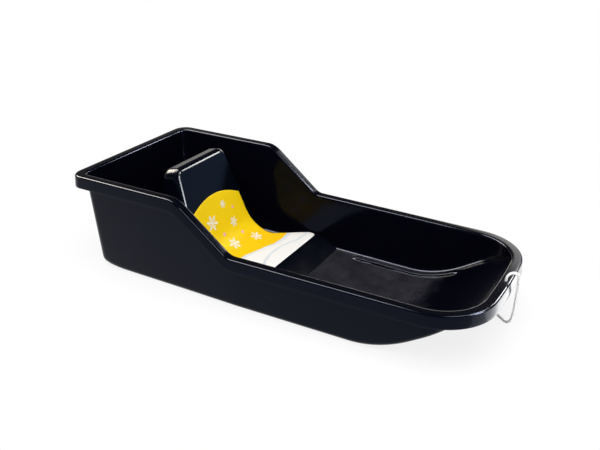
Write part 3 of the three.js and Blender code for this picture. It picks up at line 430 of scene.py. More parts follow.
class Outline:
    """Half the outline seen from above, from the middle of the rear edge to the tip of the nose.
    at() gives its points for an inset and a rear corner radius, each one value or one per point."""

    def __init__(self, t):
        self.t = t
        self.bow, self.bow_x, self.centre, side_angle, bow_angle = nose_arcs(t)
        self.rear = np.linspace(0, 1, 9)[:-1]
        self.corner = np.linspace(np.pi, np.pi / 2, 15)
        first = t.flange_width + t.foot_corner + t.wall_draft * t.rear_height + 4 * MM
        last = self.centre[0] + t.nose_corner * math.cos(side_angle)
        self.side = stretches(first, (
            (t.bend_top_x - t.bend_top_blend, 22), (t.bend_top_x + t.bend_top_blend, 12),
            (t.bend_low_x - t.bend_low_blend, 10), (t.bend_low_x + t.bend_low_blend, 12),
            (t.rib_start_x - MM, 12), (t.rib_start_x + t.rib_end_slope + MM, 8), (t.sweep_start_x, 14),
            (t.rib_end_x - t.rib_end_slope - MM, 22), (t.rib_end_x + MM, 6), (last, 6),
        ))[:-1]
        self.nose = np.linspace(side_angle, bow_angle, 37)
        self.front = np.linspace(bow_angle, 0, 17)[1:]
        self.count = sum(map(len, (self.rear, self.corner, self.side, self.nose, self.front)))
        cuts = np.cumsum([len(self.rear), len(self.corner), len(self.side), len(self.nose)])
        self.parts = [slice(a, b) for a, b in zip([0, *cuts], [*cuts, self.count])]
        self.rim_x = self.at(0.0, t.rear_corner)[0]

    def at(self, inset, corner):
        """X and Y of every point: along the rear edge, round the rear corner, along the side,
        round the nose corner and along the bowed front edge."""
        t = self.t
        inset = np.broadcast_to(inset, self.count)
        corner = np.broadcast_to(corner, self.count)
        x = np.empty(self.count)
        y = np.empty(self.count)
        rear, turn, side, nose, front = self.parts
        x[rear] = inset[rear]
        y[rear] = self.rear * (t.rear_half_width - inset[rear] - corner[rear])
        x[turn] = inset[turn] + corner[turn] * (1 + np.cos(self.corner))
        y[turn] = t.rear_half_width - inset[turn] - corner[turn] * (1 - np.sin(self.corner))
        x[side] = self.side
        lean = np.where(self.side > t.bend_top_x, math.hypot(1, taper(t)), 1.0)
        y[side] = rim_half_width(t, self.side) - inset[side] * lean
        x[nose] = self.centre[0] + (t.nose_corner - inset[nose]) * np.cos(self.nose)
        y[nose] = self.centre[1] + (t.nose_corner - inset[nose]) * np.sin(self.nose)
        x[front] = self.bow_x + (self.bow - inset[front]) * np.cos(self.front)
        y[front] = (self.bow - inset[front]) * np.sin(self.front)
        y[-1] = 0.0
        return x, y


def rib_rise(t, x, y, half, start, end, height):
    """A raised bar along each side: a flat top with sloping sides and ends."""
    off = np.abs(np.abs(y) - (rim_half_width(t, x) - t.rib_inset))
    across = np.clip((half - off) / t.rib_slope, 0, 1)
    along = np.clip(np.minimum(x - start, end - x) / t.rib_end_slope, 0, 1)
    return height * eased(across) * along


def tub_levels(t):
    """Lines round half the tub, one per level of its section: the inner floor from the middle
    out, the inner fillet and wall, the flange, the lip, the underside of the flange, the outer
    wall and fillet, and the underside of the floor back to the middle."""
    line = Outline(t)
    rim = rim_height(t, line.rim_x)
    step = t.bend_low_blend / 10
    rim_slope = (rim_height(t, line.rim_x + step) - rim_height(t, line.rim_x - step)) / (2 * step)
    flange_under = rim - t.sheet * np.hypot(1, rim_slope)
    inner_wall = t.flange_width + t.sheet
    inner_corner = t.wall_corner - t.sheet
    inner_foot = t.foot_corner - t.sheet
    rear = np.clip((t.rear_fillet_end - line.rim_x) / (t.rear_fillet_end - t.foot_corner), 0, 1)
    fillet = t.floor_fillet + (t.rear_fillet - t.floor_fillet) * eased(rear)

    def foot(wall, corner, surface, top, limit):
        """Inset of the wall's foot, and the fillet's radius there."""
        reach = wall + t.wall_draft * (top - surface(t, line.at(wall, corner)[0]))
        low = surface(t, line.at(reach, corner)[0])
        return reach, np.minimum(limit, t.fillet_share * (top - low))

    def at(inset, corner, height):
        """One level: its height is a number, one number per point, or a function of X."""
        x, y = line.at(inset, corner)
        z = height(x) if callable(height) else height
        return np.stack([x, y, np.broadcast_to(z, x.shape)], -1)

    def rim_corner(inset):
        """Rear corner radius across the flange."""
        return t.rear_corner + (inner_corner - t.rear_corner) * inset / inner_wall

    def between(start, end):
        """Four levels evenly spread between two."""
        return [start + (end - start) * part for part in np.linspace(0, 1, 6)[1:-1]]

    def rounded_foot(reach, radius, corner, surface, turns):
        """Levels round the fillet between a wall and the floor."""
        steps = [(radius * (1 - math.cos(turn)), radius * (1 - math.sin(turn))) for turn in turns]
        return [at(reach + inward, corner - inward, lambda x: surface(t, x) + lift)
                for inward, lift in steps]

    def rounded_edge(start, sign, radius, turns):
        """Levels round an edge of the flange that starts at an inset."""
        insets = [start + sign * radius * (1 - math.cos(turn)) for turn in turns]
        return [at(inset, rim_corner(inset), rim - radius * (1 - math.sin(turn)))
                for inset, turn in zip(insets, turns)]

    def floor(reach, radius, corner, surface, offsets, rise):
        """Levels between the fillet's foot and the middle line, spread towards a spine that
        ends short of the rear and of the nose."""
        short = 0.085
        ring = np.stack(line.at(reach + radius, corner - radius), -1)
        spine = np.stack([np.clip(ring[:, 0], short, ring[-1, 0] - short), np.zeros(line.count)], -1)
        half = rim_half_width(t, t.rib_start_x) - t.rib_inset + t.rib_half_width
        nears = [1 - d / half for d in offsets]
        shares = nears + list(np.linspace(nears[-1], 0, 8)[1:])
        levels = []
        for k in shares[1:]:
            flat = spine + k * (ring - spine)
            x, y = flat[:, 0], flat[:, 1]
            levels.append(np.stack([x, y, surface(t, x) + rise(x, y)], -1))
        return levels

    def top_rise(x, y):
        """Rise of the ribs on the inner floor."""
        return rib_rise(t, x, y, t.rib_half_width, t.rib_start_x, t.rib_end_x, t.rib_height)

    def groove_rise(x, y):
        """Depth of the grooves below the ribs."""
        return rib_rise(t, x, y, t.rib_half_width - t.sheet, t.rib_start_x + t.sheet,
                        t.rib_end_x - t.sheet, t.rib_height)

    inner_top = rim - t.inner_round
    inner_reach, inner_radius = foot(inner_wall, inner_foot, floor_top, inner_top, fillet - t.sheet)
    outer_reach, outer_radius = foot(t.flange_width, t.foot_corner, floor_height, flange_under, fillet)
    # Distances of the floor's levels from the rib's outer foot, close together at its slopes
    ribs_top = [d * MM for d in (0, 0.6, 1.2, 1.8, 2.4, 3, 3.6, 4.2, 5, 8, 11, 14,
                                 15.6, 16.2, 16.8, 17.4, 18, 18.6, 19.2, 19.8, 20.6, 23, 26)]
    ribs_under = [d * MM for d in (0, 1.5, 2.9, 3.5, 4.2, 5, 5.8, 6.6, 7.4, 10,
                                   12.6, 13.4, 14.2, 15, 15.8, 16.5, 17.2, 19, 22, 26)]
    levels = floor(inner_reach, inner_radius, inner_foot, floor_top, ribs_top, top_rise)[::-1]

    # Inner fillet and wall
    quarter = np.pi / 2
    levels += rounded_foot(inner_reach, inner_radius, inner_foot, floor_top, np.linspace(quarter, 0, 9))
    levels += between(levels[-1], at(inner_wall, inner_corner, inner_top))

    # Flange: inner edge, flat and outer edge
    levels += rounded_edge(inner_wall, -1, t.inner_round, np.linspace(0, quarter, 8))
    for inset in np.linspace(inner_wall - t.inner_round, t.rim_round, 5)[1:-1]:
        levels.append(at(inset, rim_corner(inset), rim))
    levels += rounded_edge(0, 1, t.rim_round, np.linspace(quarter, 0, 8))

    # Lip: outside, rounded foot, inside
    foot_round = 0.25 * t.sheet
    for part in (0.35, 0.7):
        out = -t.lip_flare * part
        drop = t.rim_round + (t.lip_height - foot_round - t.rim_round) * part
        levels.append(at(out, t.rear_corner - out, rim - drop))
    for centre_inset, start in ((foot_round - t.lip_flare, 2 * quarter),
                                (t.sheet - t.lip_flare - foot_round, 3 * quarter)):
        for turn in np.linspace(start, start + quarter, 4):
            inset = centre_inset + foot_round * math.cos(turn)
            levels.append(at(inset, t.rear_corner - inset,
                             rim - t.lip_height + foot_round * (1 + math.sin(turn))))

    # Underside of the flange and outer wall
    round_in = 0.6 * t.sheet
    for away, down in ((0, 1), (0.3, 0.3), (1, 0)):
        inset = t.sheet + away * round_in
        levels.append(at(inset, rim_corner(t.sheet), flange_under - down * round_in))
    for away, down in ((1, 0), (0.3, 0.3), (0, 1)):
        inset = t.flange_width - away * round_in
        levels.append(at(inset, t.wall_corner, flange_under - down * round_in))
    wall_foot = at(outer_reach, t.foot_corner, lambda x: floor_height(t, x) + outer_radius)
    levels += between(levels[-1], wall_foot)
    levels += rounded_foot(outer_reach, outer_radius, t.foot_corner, floor_height,
                           np.linspace(0, quarter, 9))
    levels += floor(outer_reach, outer_radius, t.foot_corner, floor_height, ribs_under, groove_rise)
    return np.array(levels)


def mirrored_rings(levels):
    """Half lines joined to their mirror images, so that each level is a closed ring."""
    other = levels[:, -2:0:-1] * np.array([1, -1, 1])
    return np.concatenate([levels, other], 1)


def to_frame(points, t):
    """From the sled's own X, counted from the rear edge, to the shared frame."""
    points = np.array(points, float)
    points[..., 0] -= t.length / 2
    return points


def cut(piece, cutters):
    """Takes closed meshes out of a piece and keeps the result as its mesh."""
    helpers = []
    for points, faces in cutters:
        mesh = make_mesh("cutter", points, faces)
        clean(mesh)
        helper = bpy.data.objects.new("cutter", mesh)
        bpy.context.scene.collection.objects.link(helper)
        modifier = piece.modifiers.new("cut", "BOOLEAN")
        modifier.operation = "DIFFERENCE"
        modifier.solver = "EXACT"
        modifier.object = helper
        helpers.append(helper)
    bpy.context.view_layer.update()
    depsgraph = bpy.context.evaluated_depsgraph_get()
    mesh = bpy.data.meshes.new_from_object(piece.evaluated_get(depsgraph))
    piece.modifiers.clear()
    old = piece.data
    piece.data = mesh
    mesh.name = old.name
    bpy.data.meshes.remove(old)
    for helper in helpers:
        mesh = helper.data
        bpy.data.objects.remove(helper)
        bpy.data.meshes.remove(mesh)


# Seat shape

def seat_base(t, s):
    """Height at which the seat stands."""
    return t.sheet + s.gap


class Border:
    """Edge between the seat's face and its sides: a flat bead, then a rounded band. Points on it
    are given by their distance outside the face (out) and their depth below it (deep)."""

    def __init__(self, s, sheet=0.0):
        steps = 239
        run = np.linspace(0, 1, steps + 1)[1:]
        turns = np.interp(run, [0, 0.12, 0.45, 0.8, 0.93, 1], np.radians([30, 38, 50, 64, 82, 86]))
        band = np.cumsum(np.stack([np.cos(turns), np.sin(turns)], -1) * (s.border / steps), axis=0)
        bead = s.bead * np.array([math.cos(s.bead_turn), math.sin(s.bead_turn)])
        line = np.vstack([[0, 0], bead, bead + band])
        line *= 1 - sheet / line[-1, 0]
        self.out, self.deep = line.T
        self.full, self.deepest = map(float, line[-1])

    def out_at(self, deep):
        """How far out the border is at a depth."""
        return np.interp(deep, self.deep, self.out)


def profile_normals(profile):
    """Unit normals of a side view, up and out of the seat."""
    run = unit(np.gradient(profile, axis=0))
    return np.stack([-run[:, 1], run[:, 0]], -1)


class SeatLine:
    """Side view of the seat from the foot of its rear wall to the foot of its ramp, its normals,
    and where the rear round ends, the face starts and the curve into the seat starts."""

    def __init__(self, t, s):
        base = seat_base(t, s)
        down = np.array([math.sin(s.lean), -math.cos(s.lean)])
        normal = np.array([math.cos(s.lean), math.sin(s.lean)])
        border = Border(s)
        # The border seen from the side, up to where it turns into the tilted top
        last = len(border.out) - 1
        picks = np.concatenate([[0, 0.04, 0.5, 0.96, 1], 1 + (last - 1) * np.linspace(0, 1, 24)[1:]])
        out = np.interp(picks, np.arange(last + 1), border.out)
        deep = np.interp(picks, np.arange(last + 1), border.deep)
        edge = -np.outer(out, down) - np.outer(deep, normal)
        slope = np.diff(edge[:, 1]) / np.minimum(np.diff(edge[:, 0]), -1e-9)
        edge = edge[:int(np.argmax(np.append(slope, 9.0) > math.tan(s.top_tilt))) + 1]
        start = np.array([s.face_top_x, s.top_height - edge[:, 1].max()])
        edge = (start + edge)[::-1]
        rear_top_x = s.face_top_x - s.thickness
        lower = edge[0, 1] - (edge[0, 0] - rear_top_x - s.rear_round) * math.tan(s.top_tilt)
        foot_x = rear_top_x - (s.top_height - base - s.sheet) * math.tan(s.rear_draft)
        turn = np.linspace(np.pi - s.rear_draft, np.pi / 2 + s.top_tilt, 12)
        rear = np.stack([
            rear_top_x + s.rear_round * (1 + np.cos(turn)),
            lower - s.rear_round / math.cos(s.top_tilt) + s.rear_round * np.sin(turn),
        ], -1)
        wall = np.linspace([foot_x, base + HAIR], rear[0], 9)[:-1]
        top = np.linspace(rear[-1], edge[0], 5)[1:-1]
        curve_z = s.height + s.curve_radius * (1 - math.sin(s.lean))
        curve_x = start[0] + (start[1] - curve_z) * math.tan(s.lean)
        turn = np.linspace(np.pi + s.lean, 1.5 * np.pi, 22)
        curve = np.stack([
            curve_x + s.curve_radius * (math.cos(s.lean) + np.cos(turn)),
            s.height + s.curve_radius * (1 + np.sin(turn)),
        ], -1)
        near = 1.2 * s.face_corner
        whole = float(np.linalg.norm(curve[0] - start))
        steps = [HAIR, *np.linspace(0, near, 14)[1:], *np.linspace(near, whole, 12)[1:-1]]
        face = start + np.outer(steps, down)
        ramp_end = base + s.ramp_end
        fall = (ramp_end - s.height) / (s.ramp_end_x - s.front_x)
        x = stretches(curve[-1, 0], (
            (s.flare_start_x + s.flare_blend, 7), (s.front_x - s.front_blend, 11),
            (s.front_x + s.front_blend, 9), (s.ramp_end_x, 5),
        ))[1:]
        pan = np.stack([x, s.height + blended_corner(x, s.front_x, s.front_blend, fall)], -1)
        self.points = np.vstack([wall, rear, top, edge, face, curve, pan])
        self.normals = profile_normals(self.points)
        self.rear_end = len(wall) + len(rear) - 1
        self.edge_start = self.rear_end + len(top) + 1
        self.face_start = self.edge_start + len(edge) - 1
        self.curve_start = self.face_start + len(face) + 1


def tub_inner_half_width(t, x, z):
    """Half width of the clear space in the tub at a height above its flat floor."""
    top = rim_height(t, x) - t.inner_round
    wall = rim_half_width(t, x) - t.flange_width - t.sheet - t.wall_draft * (top - z)
    foot = rim_half_width(t, x) - t.flange_width - t.sheet - t.wall_draft * (top - t.sheet)
    radius = t.floor_fillet - t.sheet
    below = radius - (z - t.sheet)
    curved = foot - radius + np.sqrt(np.maximum(radius ** 2 - below ** 2, 0))
    return np.where(below <= 0, wall, curved)


def seat_half_width(t, s, x, z):
    """The backrest's leaning sides, then a flare out to the tub's walls."""
    back = s.half_width + s.side_draft * (s.top_height - z)
    flare = blended_corner(x, s.flare_start_x, s.flare_blend, s.flare)
    return np.minimum(back + flare, tub_inner_half_width(t, x, z - s.gap) - s.wall_clearance)


def border_share(s, z):
    """Share of the border's full width: all of it up the backrest, less along the pan."""
    low = np.clip((z - s.height) / s.curve_radius, 0, 1)
    return s.pan_border + (1 - s.pan_border) * eased(low)


def rear_edge(s, x, z):
    """How far the round between the rear wall and the rest draws the outline in."""
    rear_x = s.face_top_x - s.thickness - (s.top_height - z) * math.tan(s.rear_draft)
    left = np.clip(s.rear_round - (x - rear_x), 0, s.rear_round)
    return s.rear_round - np.sqrt(s.rear_round ** 2 - left ** 2)


def seat_rings(t, s, line, sheet):
    """Cross-sections of the seat along its side view, each from one foot over the top to the
    other; sheet is how far inside the outer face they lie. A section climbs the side and the
    rounded corner of the backrest's outline, crosses the border and runs over the face."""
    base = seat_base(t, s)
    border = Border(s, sheet)
    sine, cosine = math.sin(s.lean), math.cos(s.lean)
    corner = s.face_corner + border.full
    x = line.points[:, 0] - sheet * line.normals[:, 0]
    top = np.maximum(line.points[:, 1] - sheet * line.normals[:, 1], base + HAIR)
    face_x, face_z = line.points[line.face_start] - sheet * np.array([cosine, sine])
    at = np.arange(len(x))
    on_back = at < line.curve_start
    steep = np.where(on_back, sine, np.maximum(line.normals[:, 1], 0.25))
    lid = np.where(on_back, np.maximum(face_z - (x - face_x) * cosine / sine, top), top)
    wide = np.where(on_back, 1.0, border_share(s, top))
    fit = np.minimum(wide, np.where(on_back, 1.0, (top - base) * 0.5 * steep / border.deepest))
    # Centre of the outline's rounded corner where the border ends
    centre = np.full(len(x), face_z - s.face_corner * cosine - border.deepest * sine)
    tilted = top[np.clip(at, line.rear_end, line.edge_start)] - top[line.edge_start]
    centre = np.where(on_back, centre + tilted, 1.0)

    def outline(z, deep=border.deepest, draw_in=0.0):
        """Half width at a height, where the border leaves the outline drawn in."""
        radius = np.maximum(corner - rear_edge(s, x, z) - draw_in, 1e-5)
        middle = centre + np.maximum(border.deepest - deep, 0) * sine
        up = np.clip((z - middle) / cosine, 0, radius)
        return seat_half_width(t, s, x, z) - sheet - corner + np.sqrt(radius ** 2 - up ** 2)

    leave = np.minimum(lid - border.deepest * fit / steep, top)
    radius = np.maximum(corner - rear_edge(s, x, leave), 1e-5)
    turn = np.arcsin(np.clip((leave - centre) / cosine / radius, 0, 1))
    lead = np.minimum(0.006, 0.4 * (leave - base))
    low = np.minimum(centre, leave) - lead
    half = []
    for part in (0, 0.2, 0.4, 0.6, 0.8):
        z = base + (low - base) * part
        half.append(np.stack([x, outline(z), z], -1))
    for part in np.linspace(0, 1, 18):
        along = part * (lead + radius * turn)
        angle = np.maximum(along - lead, 0) / radius
        z = np.minimum(low + np.minimum(along, lead) + radius * cosine * np.sin(angle), leave)
        half.append(np.stack([x, outline(z), z], -1))
    shallow = np.where(on_back, np.clip((lid - top) * sine, 0, border.deepest), 0)
    bead = s.bead * math.sin(s.bead_turn) / border.deepest
    on_bead = np.array([0, 0.012, 0.05, 0.14, 0.3, 0.55, 0.8, 0.97, 1.0])
    on_band = np.array([0.006, 0.025, 0.06, 0.11, 0.17, 0.24, 0.32, 0.41, 0.5, 0.59, 0.68,
                        0.76, 0.82, 0.87, 0.91, 0.94, 0.97])
    levels = np.concatenate([on_bead * bead, bead + (1 - bead) * on_band])
    for level in levels[::-1]:
        deep = shallow + (border.deepest - shallow) * level
        z = np.minimum(lid - deep * fit / steep, top)
        draw_in = (border.full - border.out_at(deep)) * np.minimum(fit * 2, wide)
        half.append(np.stack([x, outline(z, deep, draw_in), z], -1))
    last = half[-1]
    for k in (0.997, 0.98, 0.94, 0.86, 0.75, 0.6, 0.4, 0.2):
        half.append(last * np.array([1, k, 1]))
    half = np.array(half)
    middle = (last * np.array([1, 0, 1]))[None]
    return np.concatenate([half, middle, half[::-1] * np.array([1, -1, 1])]).transpose(1, 0, 2)


def seat_shell(t, s):
    """The outer and the inner face, the strip between them at the foot, and the ends."""
    line = SeatLine(t, s)
    base = seat_base(t, s)
    outer = seat_rings(t, s, line, 0.0)
    inner = seat_rings(t, s, line, s.sheet)
    room = line.points[:, 1] - s.sheet * line.normals[:, 1] > base + s.ramp_end
    wall_side = np.arange(len(room)) < len(room) // 2
    keep = np.flatnonzero(room | wall_side)
    last = keep[-1]
    inner[last + 1:] = inner[last]
    count, width = outer.shape[:2]
    points = np.concatenate([outer.reshape(-1, 3), inner.reshape(-1, 3)])
    faces = grid_quads(count, width).tolist()
    faces += (grid_quads(count, width)[:, ::-1] + count * width).tolist()
    rows = np.arange(count - 1)
    for column in (0, width - 1):
        a = rows * width + column
        faces += np.stack([a, a + width, a + width + count * width, a + count * width], -1).tolist()
    for row in (0, count - 1):
        a = row * width
        faces.append([a + i for i in range(width)])
        faces.append([a + count * width + i for i in range(width)][::-1])
        faces.append([a, a + count * width, a + count * width + width - 1, a + width - 1])
    return points, faces


def plate(corners, low, high, bevel):
    """A flat plate from its outline seen from above, with its upper edge bevelled."""
    corners = np.asarray(corners, float)
    inside = corners - unit(corners - corners.mean(0)) * bevel
    rings = [np.column_stack([c, np.full(len(c), z)]) for c, z in
             ((corners, low), (corners, high - bevel), (inside, high))]
    n = len(corners)
    faces = grid_quads(3, n, close_columns=True).tolist()
    faces += [list(range(n))[::-1], [2 * n + i for i in range(n)]]
    return np.vstack(rings), faces


def rounded_box(x0, x1, y0, y1, radius, count=6):
    """Outline of a rectangle with rounded corners, seen from above."""
    turn = np.linspace(0, np.pi / 2, count)
    out = []
    for cx, cy, start in ((x1 - radius, y1 - radius, 0), (x0 + radius, y1 - radius, 1),
                          (x0 + radius, y0 + radius, 2), (x1 - radius, y0 + radius, 3)):
        angle = turn + start * np.pi / 2
        out.append(np.stack([cx + radius * np.cos(angle), cy + radius * np.sin(angle)], -1))
    return np.vstack(out)


def rear_foot_x(t, s):
    """Where the backrest's rear wall meets its foot."""
    height = s.top_height - seat_base(t, s) - s.sheet
    return s.face_top_x - s.thickness - height * math.tan(s.rear_draft)


def side_foot_edge(t, s):
    """Outer edge of the side feet: their width beyond the backrest, or the tub's wall."""
    base = seat_base(t, s)
    clear = tub_inner_half_width(t, np.array(s.side_foot_x), np.array(base)) - s.wall_clearance
    wide = seat_half_width(t, s, np.array(s.side_foot_x), np.array(base)) + s.side_foot_width
    return float(min(wide, clear))


def rivet_places(t, s):
    """Places of the four rivets: rear left, rear right, left and right."""
    rear = rear_foot_x(t, s) - s.foot_depth / 2
    out = side_foot_edge(t, s) - s.side_foot_width / 2
    pairs = ((rear, s.rear_rivet_y), (s.side_foot_x, out))
    return [(x, side * y) for x, y in pairs for side in (1, -1)]


# Shader helpers

class Nodes:
    """Short ways to add linked nodes to a node tree."""

    def __init__(self, tree):
        self.tree = tree

    def add(self, kind, **settings):
        """A new node with its settings."""
        node = self.tree.nodes.new(kind)
        for name, value in settings.items():
            setattr(node, name, value)
        return node

    def link(self, source, target):
        """Links a socket, or sets a number, a vector or a colour on the target itself."""
        if isinstance(source, bpy.types.NodeSocket):
            self.tree.links.new(source, target)
        elif isinstance(source, (int, float)):
            target.default_value = source
        else:
            values = tuple(source)
            target.default_value = values + (1.0,) * (len(target.default_value) - len(values))

    def fill(self, node, values):
        """Links or sets inputs of a node by name. Returns the node's outputs."""
        for name, value in values.items():
            self.link(value, node.inputs[name])
        return node.outputs

    def chain(self, node, values):
        """Links or sets the first inputs of a node. Returns its first output."""
        for value, socket in zip(values, node.inputs):
            self.link(value, socket)
        return node.outputs[0]

    def math(self, operation, *values, clamp=False):
        """The result of one sum, product or function."""
        return self.chain(self.add("ShaderNodeMath", operation=operation, use_clamp=clamp), values)

    def plus(self, a, b, clamp=False):
        return self.math("ADD", a, b, clamp=clamp)

    def minus(self, a, b):
        return self.math("SUBTRACT", a, b)

    def times(self, a, b):
        return self.math("MULTIPLY", a, b)

    def most(self, a, b):
        """The greater of two."""
        return self.math("MAXIMUM", a, b)

    def between(self, value, low, high, to_low=0.0, to_high=1.0):
        """Eases from one value to another where the first input runs from low to high."""
        node = self.add("ShaderNodeMapRange", interpolation_type="SMOOTHSTEP")
        return self.chain(node, (value, low, high, to_low, to_high))

    def stretch(self, vector, factors):
        """A vector times a factor for each axis."""
        return self.chain(self.add("ShaderNodeVectorMath", operation="MULTIPLY"), (vector, factors))

    def split(self, vector):
        """The X, Y and Z of a vector."""
        return self.fill(self.add("ShaderNodeSeparateXYZ"), {"Vector": vector})

    def mix(self, factor, a, b):
        """One colour at factor 0, the other at 1. The node's colour sockets have these numbers."""
        node = self.add("ShaderNodeMix", data_type="RGBA")
        for socket, value in {0: factor, 6: a, 7: b}.items():
            self.link(value, node.inputs[socket])
        return node.outputs[2]

    def noise(self, vector, scale, detail=3.0, roughness=0.55):
        """Soft noise round 0.5."""
        return self.fill(self.add("ShaderNodeTexNoise"), {
            "Vector": vector, "Scale": scale, "Detail": detail, "Roughness": roughness})["Fac"]

    def bump(self, height, strength, distance, normal=None):
        """The normal of a surface raised by a height, on top of another normal if one is given."""
        values = {"Height": height, "Strength": strength, "Distance": distance}
        if normal is not None:
            values["Normal"] = normal
        return self.fill(self.add("ShaderNodeBump"), values)["Normal"]

    def group(self, name, build, values):
        """Places a shader node group, built on its first use. Returns the node's outputs."""
        tree = bpy.data.node_groups.get(name) or build(name)
        return self.fill(self.add("ShaderNodeGroup", node_tree=tree), values)


def new_material(name):
    """A material, the helper for its nodes and its shader."""
    material = bpy.data.materials.new(name)
    material.use_nodes = True
    return material, Nodes(material.node_tree), material.node_tree.nodes["Principled BSDF"]


def new_group(name, inputs, outputs):
    """A shader node group: inputs are (name, socket type, default), outputs (name, type)."""
    tree = bpy.data.node_groups.new(name, "ShaderNodeTree")
    for label, kind, default in inputs:
        socket = tree.interface.new_socket(name=label, in_out="INPUT", socket_type=kind)
        if default is not None:
            socket.default_value = default
    for label, kind in outputs:
        tree.interface.new_socket(name=label, in_out="OUTPUT", socket_type=kind)
    nodes = Nodes(tree)
    return nodes, nodes.add("NodeGroupInput").outputs, nodes.add("NodeGroupOutput").inputs


FLOAT = "NodeSocketFloat"
VECTOR = "NodeSocketVector"


def moulded_surface(name):
    """Surface of moulded plastic: a fine grain, a slow wave left by cooling, cloudy haze, dust with a
    painted sheen where the surface faces up low down, and thin scratches along the sled."""
    n, i, o = new_group(name, [
        ("Vector", VECTOR, None), ("Facing", FLOAT, 0.0), ("Dust and sheen height", FLOAT, 0.01),
        ("Grain", FLOAT, 900.0), ("Wave", FLOAT, 9.0), ("Cloud", FLOAT, 6.0),
    ], [("Grain", FLOAT), ("Wave", FLOAT), ("Cloud", FLOAT), ("Dust and sheen", FLOAT), ("Scratch", FLOAT)])
    n.link(n.noise(i["Vector"], i["Grain"], 2.0), o["Grain"])
    n.link(n.noise(i["Vector"], i["Wave"], 1.0, 0.4), o["Wave"])
    cloud = n.between(n.noise(i["Vector"], i["Cloud"], 6.0, 0.62), 0.36, 0.68)
    n.link(cloud, o["Cloud"])
    patch = n.noise(i["Vector"], n.times(i["Cloud"], 2.3), 8.0, 0.7)
    patch = n.between(patch, 0.36, 0.70, 0.45, 1.0)
    # Dust and painted sheen: lighter where the surface faces up and lies low
    height = n.split(i["Vector"])["Z"]
    ragged = n.plus(height, n.times(n.minus(0.75, patch), i["Dust and sheen height"]))
    low = n.between(ragged, n.times(i["Dust and sheen height"], 1.3), n.times(i["Dust and sheen height"], 0.3))
    up = n.times(n.between(i["Facing"], 0.70, 0.98), low)
    n.link(n.times(up, patch), o["Dust and sheen"])
    lines = n.noise(n.stretch(i["Vector"], (14.0, 190.0, 190.0)), 1.0, 2.0, 0.5)
    sparse = n.noise(i["Vector"], 21.0, 1.0)
    n.link(n.times(n.between(lines, 0.66, 0.74), n.between(sparse, 0.5, 0.7)), o["Scratch"])
    return n.tree


def plastic(name, tint, gloss, roughness, specular, settings, grain=900.0, haze=1.0):
    """Black moulded plastic: a tinted gloss, dust with a painted sheen on low flat places, and faint
    scratches.
    """
    material, n, shader = new_material(name)
    out = n.group("Moulded surface", moulded_surface, {
        "Vector": n.add("ShaderNodeTexCoord").outputs["Object"],
        "Facing": n.split(n.add("ShaderNodeNewGeometry").outputs["Normal"])["Z"],
        "Grain": grain, "Dust and sheen height": settings.dust_and_sheen_height,
    })
    # Lighter base colour on low up-facing places: partly dust, partly a painted sheen of the overhead
    # light
    dust_and_sheen_share = n.times(out["Dust and sheen"], 0.80 * haze)
    worn = n.times(out["Scratch"], 0.08 * haze)
    shaded = n.mix(n.times(out["Cloud"], 0.35), tint, [1.5 * c for c in tint])
    rough = n.plus(n.times(out["Cloud"], 0.04), roughness - 0.02)
    rough = n.plus(rough, n.times(out["Dust and sheen"], 0.12))
    n.fill(shader, {
        "Base Color": n.mix(n.plus(dust_and_sheen_share, worn, clamp=True), shaded, settings.dust_and_sheen),
        "Roughness": n.plus(rough, n.times(out["Scratch"], 0.06), clamp=True),
        "Specular IOR Level": specular,
        "Specular Tint": gloss,
        "Normal": n.bump(out["Grain"], 0.018, 0.00012, n.bump(out["Wave"], 0.15, 0.0020)),
    })
    return material


def snowflake(name):
    """Mask of a six-armed snowflake: the angle is folded into one arm, which is a thin bar with
    two pairs of barbs and a small six-sided heart."""
    n, i, o = new_group(name, [
        ("Vector", VECTOR, None), ("Centre", VECTOR, None), ("Radius", FLOAT, 0.01),
        ("Turn", FLOAT, 0.0),
    ], [("Mask", FLOAT)])
    centre, radius = n.split(i["Centre"]), i["Radius"]
    place = n.split(i["Vector"])
    x, y = (n.math("DIVIDE", n.minus(place[axis], centre[axis]), radius) for axis in "XY")
    distance = n.math("SQRT", n.plus(n.times(x, x), n.times(y, y)))
    angle = n.plus(n.math("ARCTAN2", y, x), i["Turn"])
    folded = n.math("PINGPONG", n.plus(angle, 4 * math.pi), math.pi / 6)
    along = n.times(distance, n.math("COSINE", folded))
    aside = n.times(distance, n.math("SINE", folded))

    def bar(value, half):
        """1 within half a width, with a soft edge."""
        return n.between(value, half * 1.25, half * 0.75)

    arm = n.times(bar(aside, 0.06), n.between(along, 1.0, 0.96))
    mask = n.most(arm, n.between(distance, 0.20, 0.16))
    sine, cosine = math.sin(math.pi / 3), math.cos(math.pi / 3)
    for root, reach in ((0.40, 0.30), (0.68, 0.22)):
        ahead = n.minus(along, root)
        run = n.plus(n.times(ahead, cosine), n.times(aside, sine))
        away = n.math("ABSOLUTE", n.minus(n.times(ahead, sine), n.times(aside, cosine)))
        long = n.times(n.between(run, reach, reach * 0.9), n.between(run, -0.02, 0.0))
        barb = n.times(bar(away, 0.05), long)
        mask = n.most(mask, barb)
    n.link(mask, o["Mask"])
    return n.tree


# Snowflakes and dots of the label: place up from the front edge and across, radius, turn
SNOWFLAKES = (
    (0.196, -0.030, 0.019, 0.2), (0.172, 0.040, 0.013, 0.5), (0.142, -0.066, 0.014, 0.1),
    (0.128, 0.006, 0.016, 0.4), (0.112, 0.074, 0.015, 0.0), (0.222, 0.022, 0.010, 0.3),
)
DOTS = (
    (0.158, -0.004, 0.0042), (0.101, -0.036, 0.0052), (0.176, -0.068, 0.0036),
    (0.140, 0.052, 0.0040), (0.204, 0.052, 0.0034),
)


